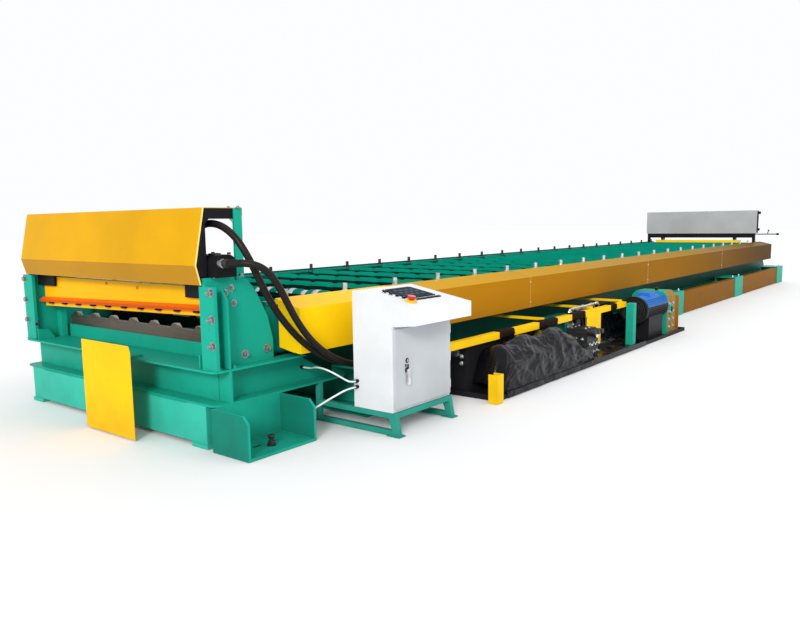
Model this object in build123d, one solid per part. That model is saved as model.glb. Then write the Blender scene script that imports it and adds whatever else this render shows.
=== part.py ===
from build123d import *
import math
import os

# A roof panel roll forming machine: a long roll bed, a hydraulic shear at its outlet end, an infeed
# guard at the other end, a drive and a hydraulic unit beside the bed, and a control cabinet.
# Millimetres. +X runs from the outlet to the infeed, -Y is the operator's side, the floor is Z = 0.

# Roll bed
STATION_COUNT = 23
STATION_PITCH = 450.0
FIRST_STATION_X = -5420.0
BED_START_X = -5570.0
BED_END_X = 4680.0
BASE_END_X = 5480.0
WALL_Y = 818.0
WALL_THICK = 20.0
WALL_TOP_Z = 640.0
CAP_THICK = 15.0
SLOT_WIDTH = 70.0
SLOT_BOTTOM_Z = 440.0
ROLL_RADIUS = 54.0
UPPER_ROLL_Z = 604.0
LOWER_ROLL_Z = 492.0
BLOCK_THICK = 44.0
BLOCK_HEIGHT = 68.0
TIE_SIZE = 50.0
TIE_TOP_Z = 640.0
SCREW_ACROSS_FLATS = 24.0
SCREW_HEIGHT = 52.0

# Bed base
RAIL_OUTER_Y = 830.0
RAIL_WIDTH = 150.0
RAIL_BOTTOM_Z = 200.0
RAIL_TOP_Z = 400.0
RAIL_FLANGE = 12.0
RAIL_WEB = 9.0
RAIL_END_RAKE = 180.0
BASE_HALF_WIDTH = 1088.0
SLEEPER_LENGTH = 390.0
SLEEPER_WALL = 10.0
SLEEPER_SHOULDER_Z = 262.0
SLEEPER_XS = (-4912.0, -2520.0, 0.0, 2520.0, 5040.0)
KICK_THICK = 4.0
KICK_TOP_Z = 245.0
KICK_LIP = 70.0
FLOOR_CLEARANCE = 5.0

# Side covers of folded sheet
COVER_THICK = 3.0
COVER_INNER_Y = 846.0
COVER_INNER_Z = 670.0
COVER_OUTER_Y = 1018.0
COVER_FOLD_Z = 628.0
COVER_BOTTOM_Z = 400.0
COVER_RETURN = 30.0
COVER_END_DROP = 22.0
COVER_START_X = -5515.0
COVER_JOINT_X = -4650.0
COVER_END_X = 4680.0

# Shear base: a C channel ring open to the rear, on a plate skirt
SHEAR_FRONT_X = -5970.0
CHANNEL_OUTER_Y = 925.0
CHANNEL_DEPTH = 85.0
CHANNEL_WEB = 10.0
CHANNEL_FLANGE = 10.0
CHANNEL_BOTTOM_Z = 205.0
CHANNEL_TOP_Z = 373.0
CHANNEL_REAR_X = -5110.0
CHANNEL_REAR_TOP_X = -5405.0
CHANNEL_CORNER_RADIUS = 45.0
SKIRT_INSET = 77.0
SKIRT_HALF_WIDTH = CHANNEL_OUTER_Y - SKIRT_INSET
SKIRT_REAR_X = -5500.0
SKIRT_THICK = 12.0
PAD_THICK = 20.0
PAD_LENGTH = 120.0
PAD_WIDTH = 110.0
PAD_EDGE_X = 8.0
PAD_EDGE_Y = 10.0

# Foot brackets that stand outboard of the shear
FOOT_FRONT_X = -5988.0
FOOT_REAR_X = -5570.0
FOOT_WIDTH = 240.0
FOOT_OUTER_Y = CHANNEL_OUTER_Y + FOOT_WIDTH
FOOT_PLATE = 14.0
FOOT_GUSSET_CHAMFER = 34.0
ANCHOR_RADIUS = 13.0
ANCHOR_INSET = 87.0
ANCHOR_OUTER_Y = FOOT_OUTER_Y - ANCHOR_INSET

# Shear cheeks
CHEEK_FRONT_X = -5952.0
CHEEK_REAR_X = -5552.0
CHEEK_INNER_Y = 840.0
CHEEK_THICK = 20.0
CHEEK_TOP_Z = 780.0
CHEEK_FLANGE_INSIDE = 25.0
CHEEK_FLANGE_OUTSIDE = 82.0
CHEEK_FLANGE_OUTER_Y = CHEEK_INNER_Y + CHEEK_FLANGE_OUTSIDE
CHEEK_FLANGE_INNER_Y = CHEEK_INNER_Y - CHEEK_FLANGE_INSIDE
CHEEK_FLANGE_TOP_Z = 762.0
RIB_X = -5880.0
RIB_THICK = 12.0
RIB_OUTER_Z = 692.0
RIB_INNER_Z = 758.0
RIB_TOP_WIDTH_Y = 14.0
CHEEK_TOP_REAR_X = -5704.0
CHEEK_SLOPE = [(-5650.0, 716.0), (-5582.0, 590.0), (-5552.0, 470.0)]

# Shear blades: a profiled die well behind the front, and a raked beam that carries the upper blade
BEAM_END_GAP = 40.0
BEAM_HALF_LENGTH = CHEEK_INNER_Y - BEAM_END_GAP
DIE_END_GAP = 68.0
DIE_HALF_LENGTH = CHEEK_INNER_Y - DIE_END_GAP
DIE_FRONT_X = -5750.0
DIE_THICK = 32.0
DIE_BOTTOM_Z = 447.0
DIE_VALLEY_Z = 505.0
DIE_RIB_HEIGHT = 24.0
RIB_PITCH = 204.0
RIB_END_MARGIN = 16.0
RIB_TOP_WIDTH = 24.0
RIB_FOOT_WIDTH = 66.0
BLADE_GAP = 6.0
BLADE_THICK = 16.0
BLADE_BOTTOM_Z = 578.0
BLADE_STROKE = 82.0
BEAM_FRONT_X = -5885.0
BEAM_THICK = 40.0
BEAM_TOP_Z = 752.0
BEAM_NEAR_Z = 614.0
BEAM_FAR_Z = 574.0
HOLDER_Z = 660.0
HOLDER_THICK = 12.0
HOLDER_END_GAP = 75.0
HOLDER_HALF_LENGTH = BEAM_HALF_LENGTH - HOLDER_END_GAP
BEAM_RIB_COUNT = 7
BEAM_RIB_PITCH = 220.0
BEAM_RIB_THICK = 12.0
BEAM_RIB_TIP = 14.0
BEAM_RIB_TOP_Z = 744.0
LEDGE_DEPTH = 25.0
LEDGE_HEIGHT = 32.0
LEDGE_RISE = 22.0
LEDGE_OVERHANG = 26.0
LEDGE_HALF_LENGTH = BEAM_HALF_LENGTH + LEDGE_OVERHANG
GUIDE_CLEARANCE = 6.0
GUIDE_THICK = 12.0
GUIDE_WIDTH = 200.0
GUIDE_INNER_Y = CHEEK_INNER_Y - GUIDE_WIDTH
GUIDE_BOTTOM_Z = 698.0
COLUMN_X0 = -5803.0
COLUMN_X1 = -5768.0
COLUMN_CLEARANCE = 13.0
COLUMN_INNER_Y = DIE_HALF_LENGTH + COLUMN_CLEARANCE
CROSSHEAD_THICK = 20.0
CROSSHEAD_DEPTH = 170.0
CYLINDER_TOP_Z = 905.0
CYLINDER_FRONT_X = -5918.0
CYLINDER_REAR_X = -5800.0
CYLINDER_INSIDE = 98.0
CYLINDER_OUTSIDE = 65.0
CYLINDER_INNER_Y = CHEEK_INNER_Y - CYLINDER_INSIDE
CYLINDER_OUTER_Y = CHEEK_INNER_Y + CYLINDER_OUTSIDE
CYLINDER_ROUND = 44.0
CYLINDER_HEAD = 12.0
ROD_END_GAP = 6.0
ROD_RADIUS = 20.0
ROD_CLEARANCE = 0.5
ROD_INSET = 65.0
ROD_Y = CHEEK_INNER_Y - ROD_INSET

# Die support, the deck in front of it and the drop plate
DECK_REAR_X = -5690.0
DROP_PLATE_FRONT_X = -6105.0
DROP_PLATE_THICK = 4.0
DROP_PLATE_Y0 = -458.0
DROP_PLATE_Y1 = -10.0
DROP_PLATE_TOP_Z = 470.0
DROP_PLATE_CORNER = 32.0
DROP_PLATE_NOTCH = 13.0
DROP_ARM_WIDTH = 40.0
DROP_ARM_THICK = 12.0
DROP_ARM_LAP = 60.0
DROP_ARM_YS = (-240.0, -60.0)

# Hood over the shear
HOOD_THICK = 3.0
HOOD_OVERHANG = 10.0
HOOD_HALF_LENGTH = CHEEK_INNER_Y + HOOD_OVERHANG
HOOD_TOP_Z = 1120.0
HOOD_RETURN = 36.0
HOOD_REAR_X = -5708.0
HOOD_TOP_FRONT_X = -5932.0
HOOD_FOLD_X = -5988.0
HOOD_FOLD_Z = 858.0
HOOD_LIP_X = -5964.0
HOOD_LIP_Z = 768.0
HOOD_END_INNER_X = -5925.0
HOOD_END_BAND_Z = 1068.0
HOOD_END_CORNER = 22.0
HOOD_END_LOW_Z = 806.0
HOOD_POST_X0 = -5764.0
HOOD_POST_X1 = -5716.0
HOOD_POST_INSET = 4.0
HOOD_POST_THICK = 12.0

# Infeed guard
GUARD_X = 4390.0
GUARD_POST = 40.0
GUARD_HALF_WIDTH = 856.0
GUARD_BOTTOM_Z = 803.0
GUARD_TOP_Z = 1157.0
GUARD_THICK = 4.0
INFEED_BAR_X = 4280.0
INFEED_BAR_HALF = 660.0
INFEED_BAR_SIZE = 40.0
INFEED_BAR_Z = 662.0
INFEED_BEAM_Z = 735.0
HANGER_Y = 560.0
HANGER_WIDTH = 30.0
HANGER_TOP_Z = 775.0
LEVER_RADIUS = 8.0
LEVER_LENGTH = 300.0
LEVER_KNOB_RADIUS = 16.0
LEVER_KNOB_LENGTH = 34.0
LEVER_Z = 790.0

# Control cabinet and its stand
CABINET_X0 = -5302.0
CABINET_X1 = -4817.0
CABINET_GAP = 85.0
CABINET_DEPTH = 251.0
CABINET_BACK_Y = -BASE_HALF_WIDTH - CABINET_GAP
CABINET_FRONT_Y = CABINET_BACK_Y - CABINET_DEPTH
CABINET_BASE_Z = 115.0
CABINET_SHELL = 2.5
CONSOLE_BACK_Z = 706.0
CONSOLE_OVERHANG = 141.0
CONSOLE_LIP_Y = CABINET_FRONT_Y - CONSOLE_OVERHANG
CONSOLE_LIP_TOP_Z = 632.0
CONSOLE_LIP_BOTTOM_Z = 555.0
CONSOLE_UNDER_Z = 541.0
DOOR_THICK = 14.0
DOOR_MARGIN = 12.0
DOOR_BOTTOM_Z = 132.0
DOOR_TOP_Z = 528.0
DOOR_SEAT_GAP = 0.5
DOOR_OPENING_MARGIN = 24.0
HANDLE_X = -5204.0
HANDLE_Z = 318.0
HANDLE_LENGTH = 84.0
HANDLE_WIDTH = 20.0
HANDLE_THICK = 12.0
ESCUTCHEON_RADIUS = 17.0
ESCUTCHEON_HEIGHT = 3.0
HANDLE_GAP = 0.3
SCREEN_X = -5026.0
SCREEN_INSET = 247.0
SCREEN_Y = CONSOLE_LIP_Y + SCREEN_INSET
SCREEN_WIDTH = 226.0
SCREEN_DEPTH = 176.0
SCREEN_THICK = 6.0
STOP_X = -5182.0
STOP_INSET = 113.0
STOP_Y = CONSOLE_LIP_Y + STOP_INSET
STOP_RING_RADIUS = 29.0
STOP_RING_HEIGHT = 12.0
STOP_HEAD_RADIUS = 20.0
STOP_STEM_RADIUS = 11.0
STOP_HEAD_HEIGHT = 14.0
STOP_TRAVEL = 5.0
STOP_CLEARANCE = 0.5
STAND_TUBE = 28.0
STAND_NOSE = 14.0
STAND_FOOT_FLARE = 22.0
STAND_LEG = 44.0
STAND_PAD_EDGE = 12.0
STAND_PAD_LENGTH = 70.0
STAND_PAD_THICK = 6.0

# Drive and hydraulic unit beside the bed
TRAY_X0 = -4405.0
TRAY_X1 = -1020.0
TRAY_WIDTH = 394.0
TRAY_INNER_Y = -BASE_HALF_WIDTH
TRAY_OUTER_Y = TRAY_INNER_Y - TRAY_WIDTH
UNIT_BACK_GAP = 18.0
TRAY_THICK = 6.0
TRAY_RIM = 30.0
TANK_X0 = -4380.0
TANK_X1 = -3500.0
TANK_DEPTH = 134.0
TANK_INNER_Y = TRAY_INNER_Y - UNIT_BACK_GAP
TANK_OUTER_Y = TANK_INNER_Y - TANK_DEPTH
TANK_TOP_Z = 300.0
TANK_LID = 10.0
BREATHER_X = -3590.0
BREATHER_RADIUS = 30.0
BREATHER_HEIGHT = 34.0
SOFT_COVER_X0 = -4310.0
SOFT_COVER_X1 = -3040.0
SOFT_COVER_INSET = 20.0
SOFT_COVER_OUTER_Y = TRAY_OUTER_Y + SOFT_COVER_INSET
SOFT_RIDGE_INSET = 112.0
SOFT_RIDGE_Y = TANK_OUTER_Y - SOFT_RIDGE_INSET
SOFT_RIDGE_Z = 316.0
SOFT_BACK_Z = 276.0
SOFT_SHOULDER_Z = 196.0
SOFT_SLOPE = 60.0
SOFT_GAP = 1.0
VALVE_X0 = -2960.0
VALVE_X1 = -2770.0
VALVE_BACK_GAP = 112.0
VALVE_DEPTH = 180.0
VALVE_Y1 = TRAY_INNER_Y - VALVE_BACK_GAP
VALVE_Y0 = VALVE_Y1 - VALVE_DEPTH
VALVE_TOP_Z = 236.0
VALVE_HEIGHT = 46.0
VALVE_COUNT = 3
VALVE_WIDTH = 42.0
VALVE_INSET = 12.0
SOLENOID_LENGTH = 52.0
SOLENOID_RADIUS = 18.0
MOTOR_X0 = -1880.0
MOTOR_X1 = -1380.0
MOTOR_OUT = 242.0
MOTOR_Y = TRAY_INNER_Y - MOTOR_OUT
MOTOR_Z = 270.0
MOTOR_RADIUS = 112.0
MOTOR_COWL = 46.0
COWL_STEP = 6.0
MOTOR_FOOT_INSET = 80.0
MOTOR_FOOT_HALF = 90.0
MOTOR_FOOT_TOP_Z = 210.0
TERMINAL_HALF_LENGTH = 70.0
TERMINAL_HALF_WIDTH = 55.0
TERMINAL_RISE = 22.0
GEARBOX_X1 = -1170.0
GEARBOX_TOP_Z = 392.0
GEARBOX_INSET = 47.0
GEARBOX_OUTER_Y = TRAY_OUTER_Y + GEARBOX_INSET
GEARBOX_INNER_Y = TRAY_INNER_Y - UNIT_BACK_GAP
GEARBOX_CHAMFER = 38.0
GEARBOX_FOOT = 34.0
GEARBOX_FOOT_STEP = 12.0
GEARBOX_SEAM = 18.0
GEARBOX_SEAM_STEP = 8.0
GUARD_RAIL_X0 = -4580.0
GUARD_RAIL_OUT = 180.0
GUARD_RAIL_Y = -BASE_HALF_WIDTH - GUARD_RAIL_OUT
GUARD_RAIL_Z = 345.0
GUARD_RAIL_SIZE = 44.0
GUARD_RAIL_THICK = 5.0
GUARD_ARM = 32.0
GUARD_ARM_LAP = 10.0
GUARD_ARM_XS = (-4550.0, -3380.0, -2560.0, -1960.0)
GUARD_PLATE_X0 = -2720.0
GUARD_PLATE_X1 = -2460.0
GUARD_PLATE_Z = 60.0
END_GUARD_XS = (-1163.0, -1070.0)
END_GUARD_TOP_Z = 336.0
GUARD_POST_OUT = 4.0
GUARD_POST_Y = TRAY_OUTER_Y - GUARD_POST_OUT
GUARD_POST_SIZE = 64.0
GUARD_POST_X = TRAY_X0 - GUARD_POST_SIZE / 2
GUARD_POST_HEIGHT = 170.0
GUARD_POST_WALL = 6.0
DRIVE_POST_X = -2265.0
DRIVE_POST_INSET = 42.0
DRIVE_POST_Y = TRAY_OUTER_Y + DRIVE_POST_INSET
DRIVE_POST_SIZE = 60.0
DRIVE_POST_TOP_Z = 373.0

# Hoses and cables, with the routes they take outside the machine
HOSE_DIAMETER = 34.0
HOSE_PORT_RADIUS = 21.0
HOSE_PORT_LENGTH = 20.0
CABLE_DIAMETER = 9.0
GLAND_RADIUS = 9.0
GLAND_LENGTH = 20.0
TANK_PORT_Z = 256.0
TANK_PORT_INSET = 32.0
TANK_PORT_STEP = 46.0
TANK_PORT_YS = (TANK_INNER_Y - TANK_PORT_INSET, TANK_INNER_Y - TANK_PORT_INSET - TANK_PORT_STEP)
HOOD_PORT_X = -5870.0
HOOD_PORT_Y = -640.0
HOOD_PORT_TOP_Z = 850.0
CYLINDER_PORT_X = -5892.0
CYLINDER_PORT_Z = 866.0
CABLE_EXIT_INSET = 27.0
CABLE_EXIT_Y = CABINET_BACK_Y - CABLE_EXIT_INSET
CABLE_EXIT_Z = 222.0
CABLE_EXIT_STEP = 30.0
BRACKET_GLAND_Y = -1105.0
BRACKET_GLAND_Z = 140.0
WEB_GLAND_X = -5350.0
WEB_GLAND_Z = 290.0

HOSE_UPPER_ROUTE = [
    (HOOD_PORT_X, HOOD_PORT_Y, HOOD_PORT_TOP_Z), (HOOD_PORT_X, HOOD_PORT_Y, HOOD_PORT_TOP_Z + 88),
    (-5867, -688, 1016), (-5862, -780, 1052), (-5854, -876, 1040), (-5841, -958, 986), (-5820, -1010, 902),
    (-5786, -1034, 806), (-5738, -1044, 704), (-5670, -1050, 604), (-5586, -1053, 512), (-5486, -1054, 430),
    (-5374, -1056, 364), (-5252, -1062, 320), (-5120, -1078, 300), (-4984, -1092, 294), (-4848, -1098, 291),
    (-4712, -1108, 284), (-4590, -1124, 268), (-4490, TANK_PORT_YS[0], TANK_PORT_Z),
    (TANK_X0 - HOSE_PORT_LENGTH, TANK_PORT_YS[0], TANK_PORT_Z)]
HOSE_LOWER_ROUTE = [
    (CYLINDER_PORT_X, -CYLINDER_OUTER_Y - HOSE_PORT_LENGTH, CYLINDER_PORT_Z),
    (CYLINDER_PORT_X, -972, CYLINDER_PORT_Z), (-5884, -1022, 869), (-5858, -1066, 868), (-5820, -1098, 852),
    (-5781, -1117, 816), (-5742, -1124, 762), (-5694, -1122, 686), (-5634, -1114, 598), (-5556, -1106, 506),
    (-5462, -1099, 426), (-5354, -1098, 360), (-5236, -1108, 314), (-5110, -1122, 293), (-4984, -1134, 287),
    (-4848, -1140, 285), (-4712, -1150, 279), (-4590, -1170, 264),
    (-4490, TANK_PORT_YS[1], TANK_PORT_Z), (TANK_X0 - HOSE_PORT_LENGTH, TANK_PORT_YS[1], TANK_PORT_Z)]
CABLE_LOWER_ROUTE = [
    (CABINET_X0 - GLAND_LENGTH, CABLE_EXIT_Y, CABLE_EXIT_Z), (-5362, CABLE_EXIT_Y, CABLE_EXIT_Z),
    (-5404, -1200, 219), (-5438, -1188, 206), (-5468, -1160, 184), (-5493, -1126, 158),
    (FOOT_REAR_X + 52, BRACKET_GLAND_Y, BRACKET_GLAND_Z),
    (FOOT_REAR_X + GLAND_LENGTH, BRACKET_GLAND_Y, BRACKET_GLAND_Z)]
CABLE_UPPER_ROUTE = [
    (CABINET_X0 - GLAND_LENGTH, CABLE_EXIT_Y, CABLE_EXIT_Z + CABLE_EXIT_STEP),
    (-5356, CABLE_EXIT_Y, CABLE_EXIT_Z + CABLE_EXIT_STEP), (-5390, -1184, 274), (-5412, -1140, 302),
    (-5418, -1082, 318), (-5408, -1022, 318), (-5382, -968, 306),
    (WEB_GLAND_X, -918, WEB_GLAND_Z),
    (WEB_GLAND_X, -CHANNEL_OUTER_Y + CHANNEL_DEPTH - GLAND_LENGTH, WEB_GLAND_Z)]


def station_x(number):
    return FIRST_STATION_X + number * STATION_PITCH


def block(x0, x1, y0, y1, z0, z1):
    return Pos((x0 + x1) / 2, (y0 + y1) / 2, (z0 + z1) / 2) * Box(x1 - x0, y1 - y0, z1 - z0)


def side_plate(points, y0, y1):
    """A plate cut to an outline in X and Z, between two values of Y."""
    outline = make_face(Plane.XZ * Polyline(*points, close=True))
    return Pos(0, max(y0, y1), 0) * extrude(outline, abs(y1 - y0), dir=(0, -1, 0))


def cross_profile(points, x0, x1):
    """A bar with a constant section in Y and Z, between two values of X."""
    outline = make_face(Plane.YZ * Polyline(*points, close=True))
    return Pos(min(x0, x1), 0, 0) * extrude(outline, abs(x1 - x0), dir=(1, 0, 0))


def folded_sheet(points, thickness):
    """Points along the inner side of a folded sheet, with the thickness laid to the left."""
    inner = [Vector(*p) for p in points]
    outer = []
    for index, here in enumerate(inner):
        before = inner[max(index - 1, 0)]
        after = inner[min(index + 1, len(inner) - 1)]
        first = (here - before) if index > 0 else (after - here)
        last = (after - here) if index < len(inner) - 1 else (here - before)
        first = first.normalized()
        last = last.normalized()
        normal_a = Vector(-first.Y, first.X)
        normal_b = Vector(-last.Y, last.X)
        mitre = (normal_a + normal_b).normalized()
        reach = thickness / mitre.dot(normal_a)
        outer.append(here + mitre * reach)
    loop = inner + outer[::-1]
    return [(v.X, v.Y) for v in loop]


def cylinder_x(x0, x1, y, z, radius):
    return Pos((x0 + x1) / 2, y, z) * Rot(0, 90, 0) * Cylinder(radius, x1 - x0)


def cylinder_y(y0, y1, x, z, radius):
    return Pos(x, (y0 + y1) / 2, z) * Rot(90, 0, 0) * Cylinder(radius, y1 - y0)


def cylinder_z(z0, z1, x, y, radius):
    return Pos(x, y, (z0 + z1) / 2) * Cylinder(radius, z1 - z0)


def far_side(shape):
    return mirror(shape, Plane.XZ)


def both_sides(shape):
    return [shape, far_side(shape)]


def save(name, pieces):
    shapes = pieces if isinstance(pieces, list) else [pieces]
    solids = [solid for shape in shapes for solid in shape.solids()]
    whole = solids[0] if len(solids) == 1 else Compound(children=solids)
    whole.label = name
    export_step(whole, f"parts/{name}.step")


# Roll bed

def bed_rails():
    inner_y = RAIL_OUTER_Y - RAIL_WIDTH
    middle = (RAIL_OUTER_Y + inner_y) / 2
    section = [
        (-RAIL_OUTER_Y, RAIL_BOTTOM_Z), (-inner_y, RAIL_BOTTOM_Z),
        (-inner_y, RAIL_BOTTOM_Z + RAIL_FLANGE), (-middle + RAIL_WEB / 2, RAIL_BOTTOM_Z + RAIL_FLANGE),
        (-middle + RAIL_WEB / 2, RAIL_TOP_Z - RAIL_FLANGE), (-inner_y, RAIL_TOP_Z - RAIL_FLANGE),
        (-inner_y, RAIL_TOP_Z), (-RAIL_OUTER_Y, RAIL_TOP_Z),
        (-RAIL_OUTER_Y, RAIL_TOP_Z - RAIL_FLANGE), (-middle - RAIL_WEB / 2, RAIL_TOP_Z - RAIL_FLANGE),
        (-middle - RAIL_WEB / 2, RAIL_BOTTOM_Z + RAIL_FLANGE), (-RAIL_OUTER_Y, RAIL_BOTTOM_Z + RAIL_FLANGE),
    ]
    rail = cross_profile(section, BED_START_X, BASE_END_X)
    rake = side_plate(
        [(BASE_END_X - RAIL_END_RAKE, RAIL_TOP_Z + 1), (BASE_END_X + 1, RAIL_TOP_Z + 1),
         (BASE_END_X + 1, RAIL_BOTTOM_Z + RAIL_FLANGE)],
        -RAIL_OUTER_Y - 1, -inner_y + 1)
    return both_sides(rail - rake)


def bed_sleepers():
    sleepers = []
    outline = [
        (-BASE_HALF_WIDTH, 0), (-BASE_HALF_WIDTH, SLEEPER_SHOULDER_Z),
        (-RAIL_OUTER_Y, SLEEPER_SHOULDER_Z), (-RAIL_OUTER_Y, RAIL_BOTTOM_Z),
        (RAIL_OUTER_Y, RAIL_BOTTOM_Z), (RAIL_OUTER_Y, SLEEPER_SHOULDER_Z),
        (BASE_HALF_WIDTH, SLEEPER_SHOULDER_Z), (BASE_HALF_WIDTH, 0),
    ]
    pocket = [
        (-BASE_HALF_WIDTH + SLEEPER_WALL, SLEEPER_WALL),
        (-BASE_HALF_WIDTH + SLEEPER_WALL, SLEEPER_SHOULDER_Z - SLEEPER_WALL),
        (-RAIL_OUTER_Y - SLEEPER_WALL, SLEEPER_SHOULDER_Z - SLEEPER_WALL),
        (-RAIL_OUTER_Y - SLEEPER_WALL, RAIL_BOTTOM_Z - SLEEPER_WALL),
        (RAIL_OUTER_Y + SLEEPER_WALL, RAIL_BOTTOM_Z - SLEEPER_WALL),
        (RAIL_OUTER_Y + SLEEPER_WALL, SLEEPER_SHOULDER_Z - SLEEPER_WALL),
        (BASE_HALF_WIDTH - SLEEPER_WALL, SLEEPER_SHOULDER_Z - SLEEPER_WALL),
        (BASE_HALF_WIDTH - SLEEPER_WALL, SLEEPER_WALL),
    ]
    for x in SLEEPER_XS:
        half = SLEEPER_LENGTH / 2
        box = cross_profile(outline, x - half, x + half)
        sleepers.append(box - cross_profile(pocket, x - half, x - SLEEPER_WALL / 2)
                        - cross_profile(pocket, x + SLEEPER_WALL / 2, x + half))
    return sleepers


def kick_panels():
    panels = []
    outer = BASE_HALF_WIDTH - SLEEPER_WALL
    section = [
        (-outer, FLOOR_CLEARANCE), (-outer, KICK_TOP_Z), (-outer + KICK_LIP, KICK_TOP_Z),
        (-outer + KICK_LIP, KICK_TOP_Z - KICK_THICK), (-outer + KICK_THICK, KICK_TOP_Z - KICK_THICK),
        (-outer + KICK_THICK, FLOOR_CLEARANCE),
    ]
    for first, second in zip(SLEEPER_XS[:-1], SLEEPER_XS[1:]):
        panel = cross_profile(section, first + SLEEPER_LENGTH / 2, second - SLEEPER_LENGTH / 2)
        panels.append(far_side(panel))
        if first >= SLEEPER_XS[2]:
            panels.append(panel)
    return panels


def side_walls():
    outline = [(BED_START_X, RAIL_TOP_Z), (BED_START_X, WALL_TOP_Z)]
    for number in range(STATION_COUNT):
        x = station_x(number)
        outline += [(x - SLOT_WIDTH / 2, WALL_TOP_Z), (x - SLOT_WIDTH / 2, SLOT_BOTTOM_Z),
                    (x + SLOT_WIDTH / 2, SLOT_BOTTOM_Z), (x + SLOT_WIDTH / 2, WALL_TOP_Z)]
    outline += [(BED_END_X, WALL_TOP_Z), (BED_END_X, RAIL_TOP_Z)]
    wall = side_plate(outline, -WALL_Y - WALL_THICK / 2, -WALL_Y + WALL_THICK / 2)
    return both_sides(wall)


def cap_bars():
    bar = block(BED_START_X, BED_END_X, -COVER_INNER_Y + COVER_THICK, -WALL_Y + BLOCK_THICK / 2,
                WALL_TOP_Z, WALL_TOP_Z + CAP_THICK)
    return both_sides(bar)


def bearing_blocks():
    blocks = []
    for number in range(STATION_COUNT):
        x = station_x(number)
        for top, bottom in ((WALL_TOP_Z, UPPER_ROLL_Z - BLOCK_HEIGHT / 2),
                            (LOWER_ROLL_Z + BLOCK_HEIGHT / 2, SLOT_BOTTOM_Z)):
            blocks += both_sides(block(x - SLOT_WIDTH / 2, x + SLOT_WIDTH / 2, -WALL_Y - BLOCK_THICK / 2,
                                       -WALL_Y + BLOCK_THICK / 2, bottom, top))
    return blocks


def roll(x, z):
    reach = WALL_Y - BLOCK_THICK / 2
    return cylinder_y(-reach, reach, x, z, ROLL_RADIUS)


def tie_bars():
    reach = WALL_Y - WALL_THICK / 2
    bars = []
    for number in range(STATION_COUNT - 1):
        x = station_x(number) + STATION_PITCH / 2
        bars.append(block(x - TIE_SIZE / 2, x + TIE_SIZE / 2, -reach, reach, TIE_TOP_Z - TIE_SIZE, TIE_TOP_Z))
    return bars


def adjusting_screws():
    screws = []
    base = WALL_TOP_Z + CAP_THICK
    for number in range(STATION_COUNT):
        prism = extrude(RegularPolygon(SCREW_ACROSS_FLATS / 2, 6, major_radius=False), SCREW_HEIGHT)
        screws += both_sides(Pos(station_x(number), -WALL_Y, base) * prism)
    return screws


# Covers

def cover_section():
    """The cover sheet in Y and Z: a return at the bottom, a side, a sloping top and a turned down edge."""
    return [(-COVER_OUTER_Y + COVER_RETURN, COVER_BOTTOM_Z),
            (-COVER_OUTER_Y, COVER_BOTTOM_Z),
            (-COVER_OUTER_Y, COVER_FOLD_Z),
            (-COVER_INNER_Y + COVER_THICK, COVER_INNER_Z),
            (-COVER_INNER_Y + COVER_THICK, WALL_TOP_Z),
            (-COVER_INNER_Y, WALL_TOP_Z),
            (-COVER_INNER_Y, COVER_INNER_Z - COVER_THICK),
            (-COVER_OUTER_Y + COVER_THICK, COVER_FOLD_Z - COVER_THICK),
            (-COVER_OUTER_Y + COVER_THICK, COVER_BOTTOM_Z + COVER_THICK),
            (-COVER_OUTER_Y + COVER_RETURN, COVER_BOTTOM_Z + COVER_THICK)]


def cover_end(x0, x1):
    return cross_profile(
        [(-COVER_OUTER_Y + COVER_THICK, COVER_BOTTOM_Z + COVER_THICK),
         (-COVER_OUTER_Y + COVER_THICK, COVER_FOLD_Z - COVER_THICK),
         (-COVER_INNER_Y, COVER_INNER_Z - COVER_THICK), (-COVER_INNER_Y, WALL_TOP_Z),
         (-CHEEK_INNER_Y - CHEEK_THICK - COVER_THICK, WALL_TOP_Z),
         (-CHEEK_INNER_Y - CHEEK_THICK - COVER_THICK, COVER_BOTTOM_Z + COVER_END_DROP),
         (-COVER_OUTER_Y + COVER_RETURN + COVER_END_DROP, COVER_BOTTOM_Z + COVER_THICK)], x0, x1)


def front_cover():
    sheet = cross_profile(cover_section(), COVER_START_X, COVER_JOINT_X)
    return sheet + cover_end(COVER_START_X, COVER_START_X + COVER_THICK)


def side_cover_near():
    sheet = cross_profile(cover_section(), COVER_JOINT_X, COVER_END_X)
    return sheet + cover_end(COVER_END_X - COVER_THICK, COVER_END_X)


def side_cover_far():
    sheet = cross_profile(cover_section(), COVER_START_X, COVER_END_X)
    sheet += cover_end(COVER_START_X, COVER_START_X + COVER_THICK)
    sheet += cover_end(COVER_END_X - COVER_THICK, COVER_END_X)
    return far_side(sheet)


# Shear

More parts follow.
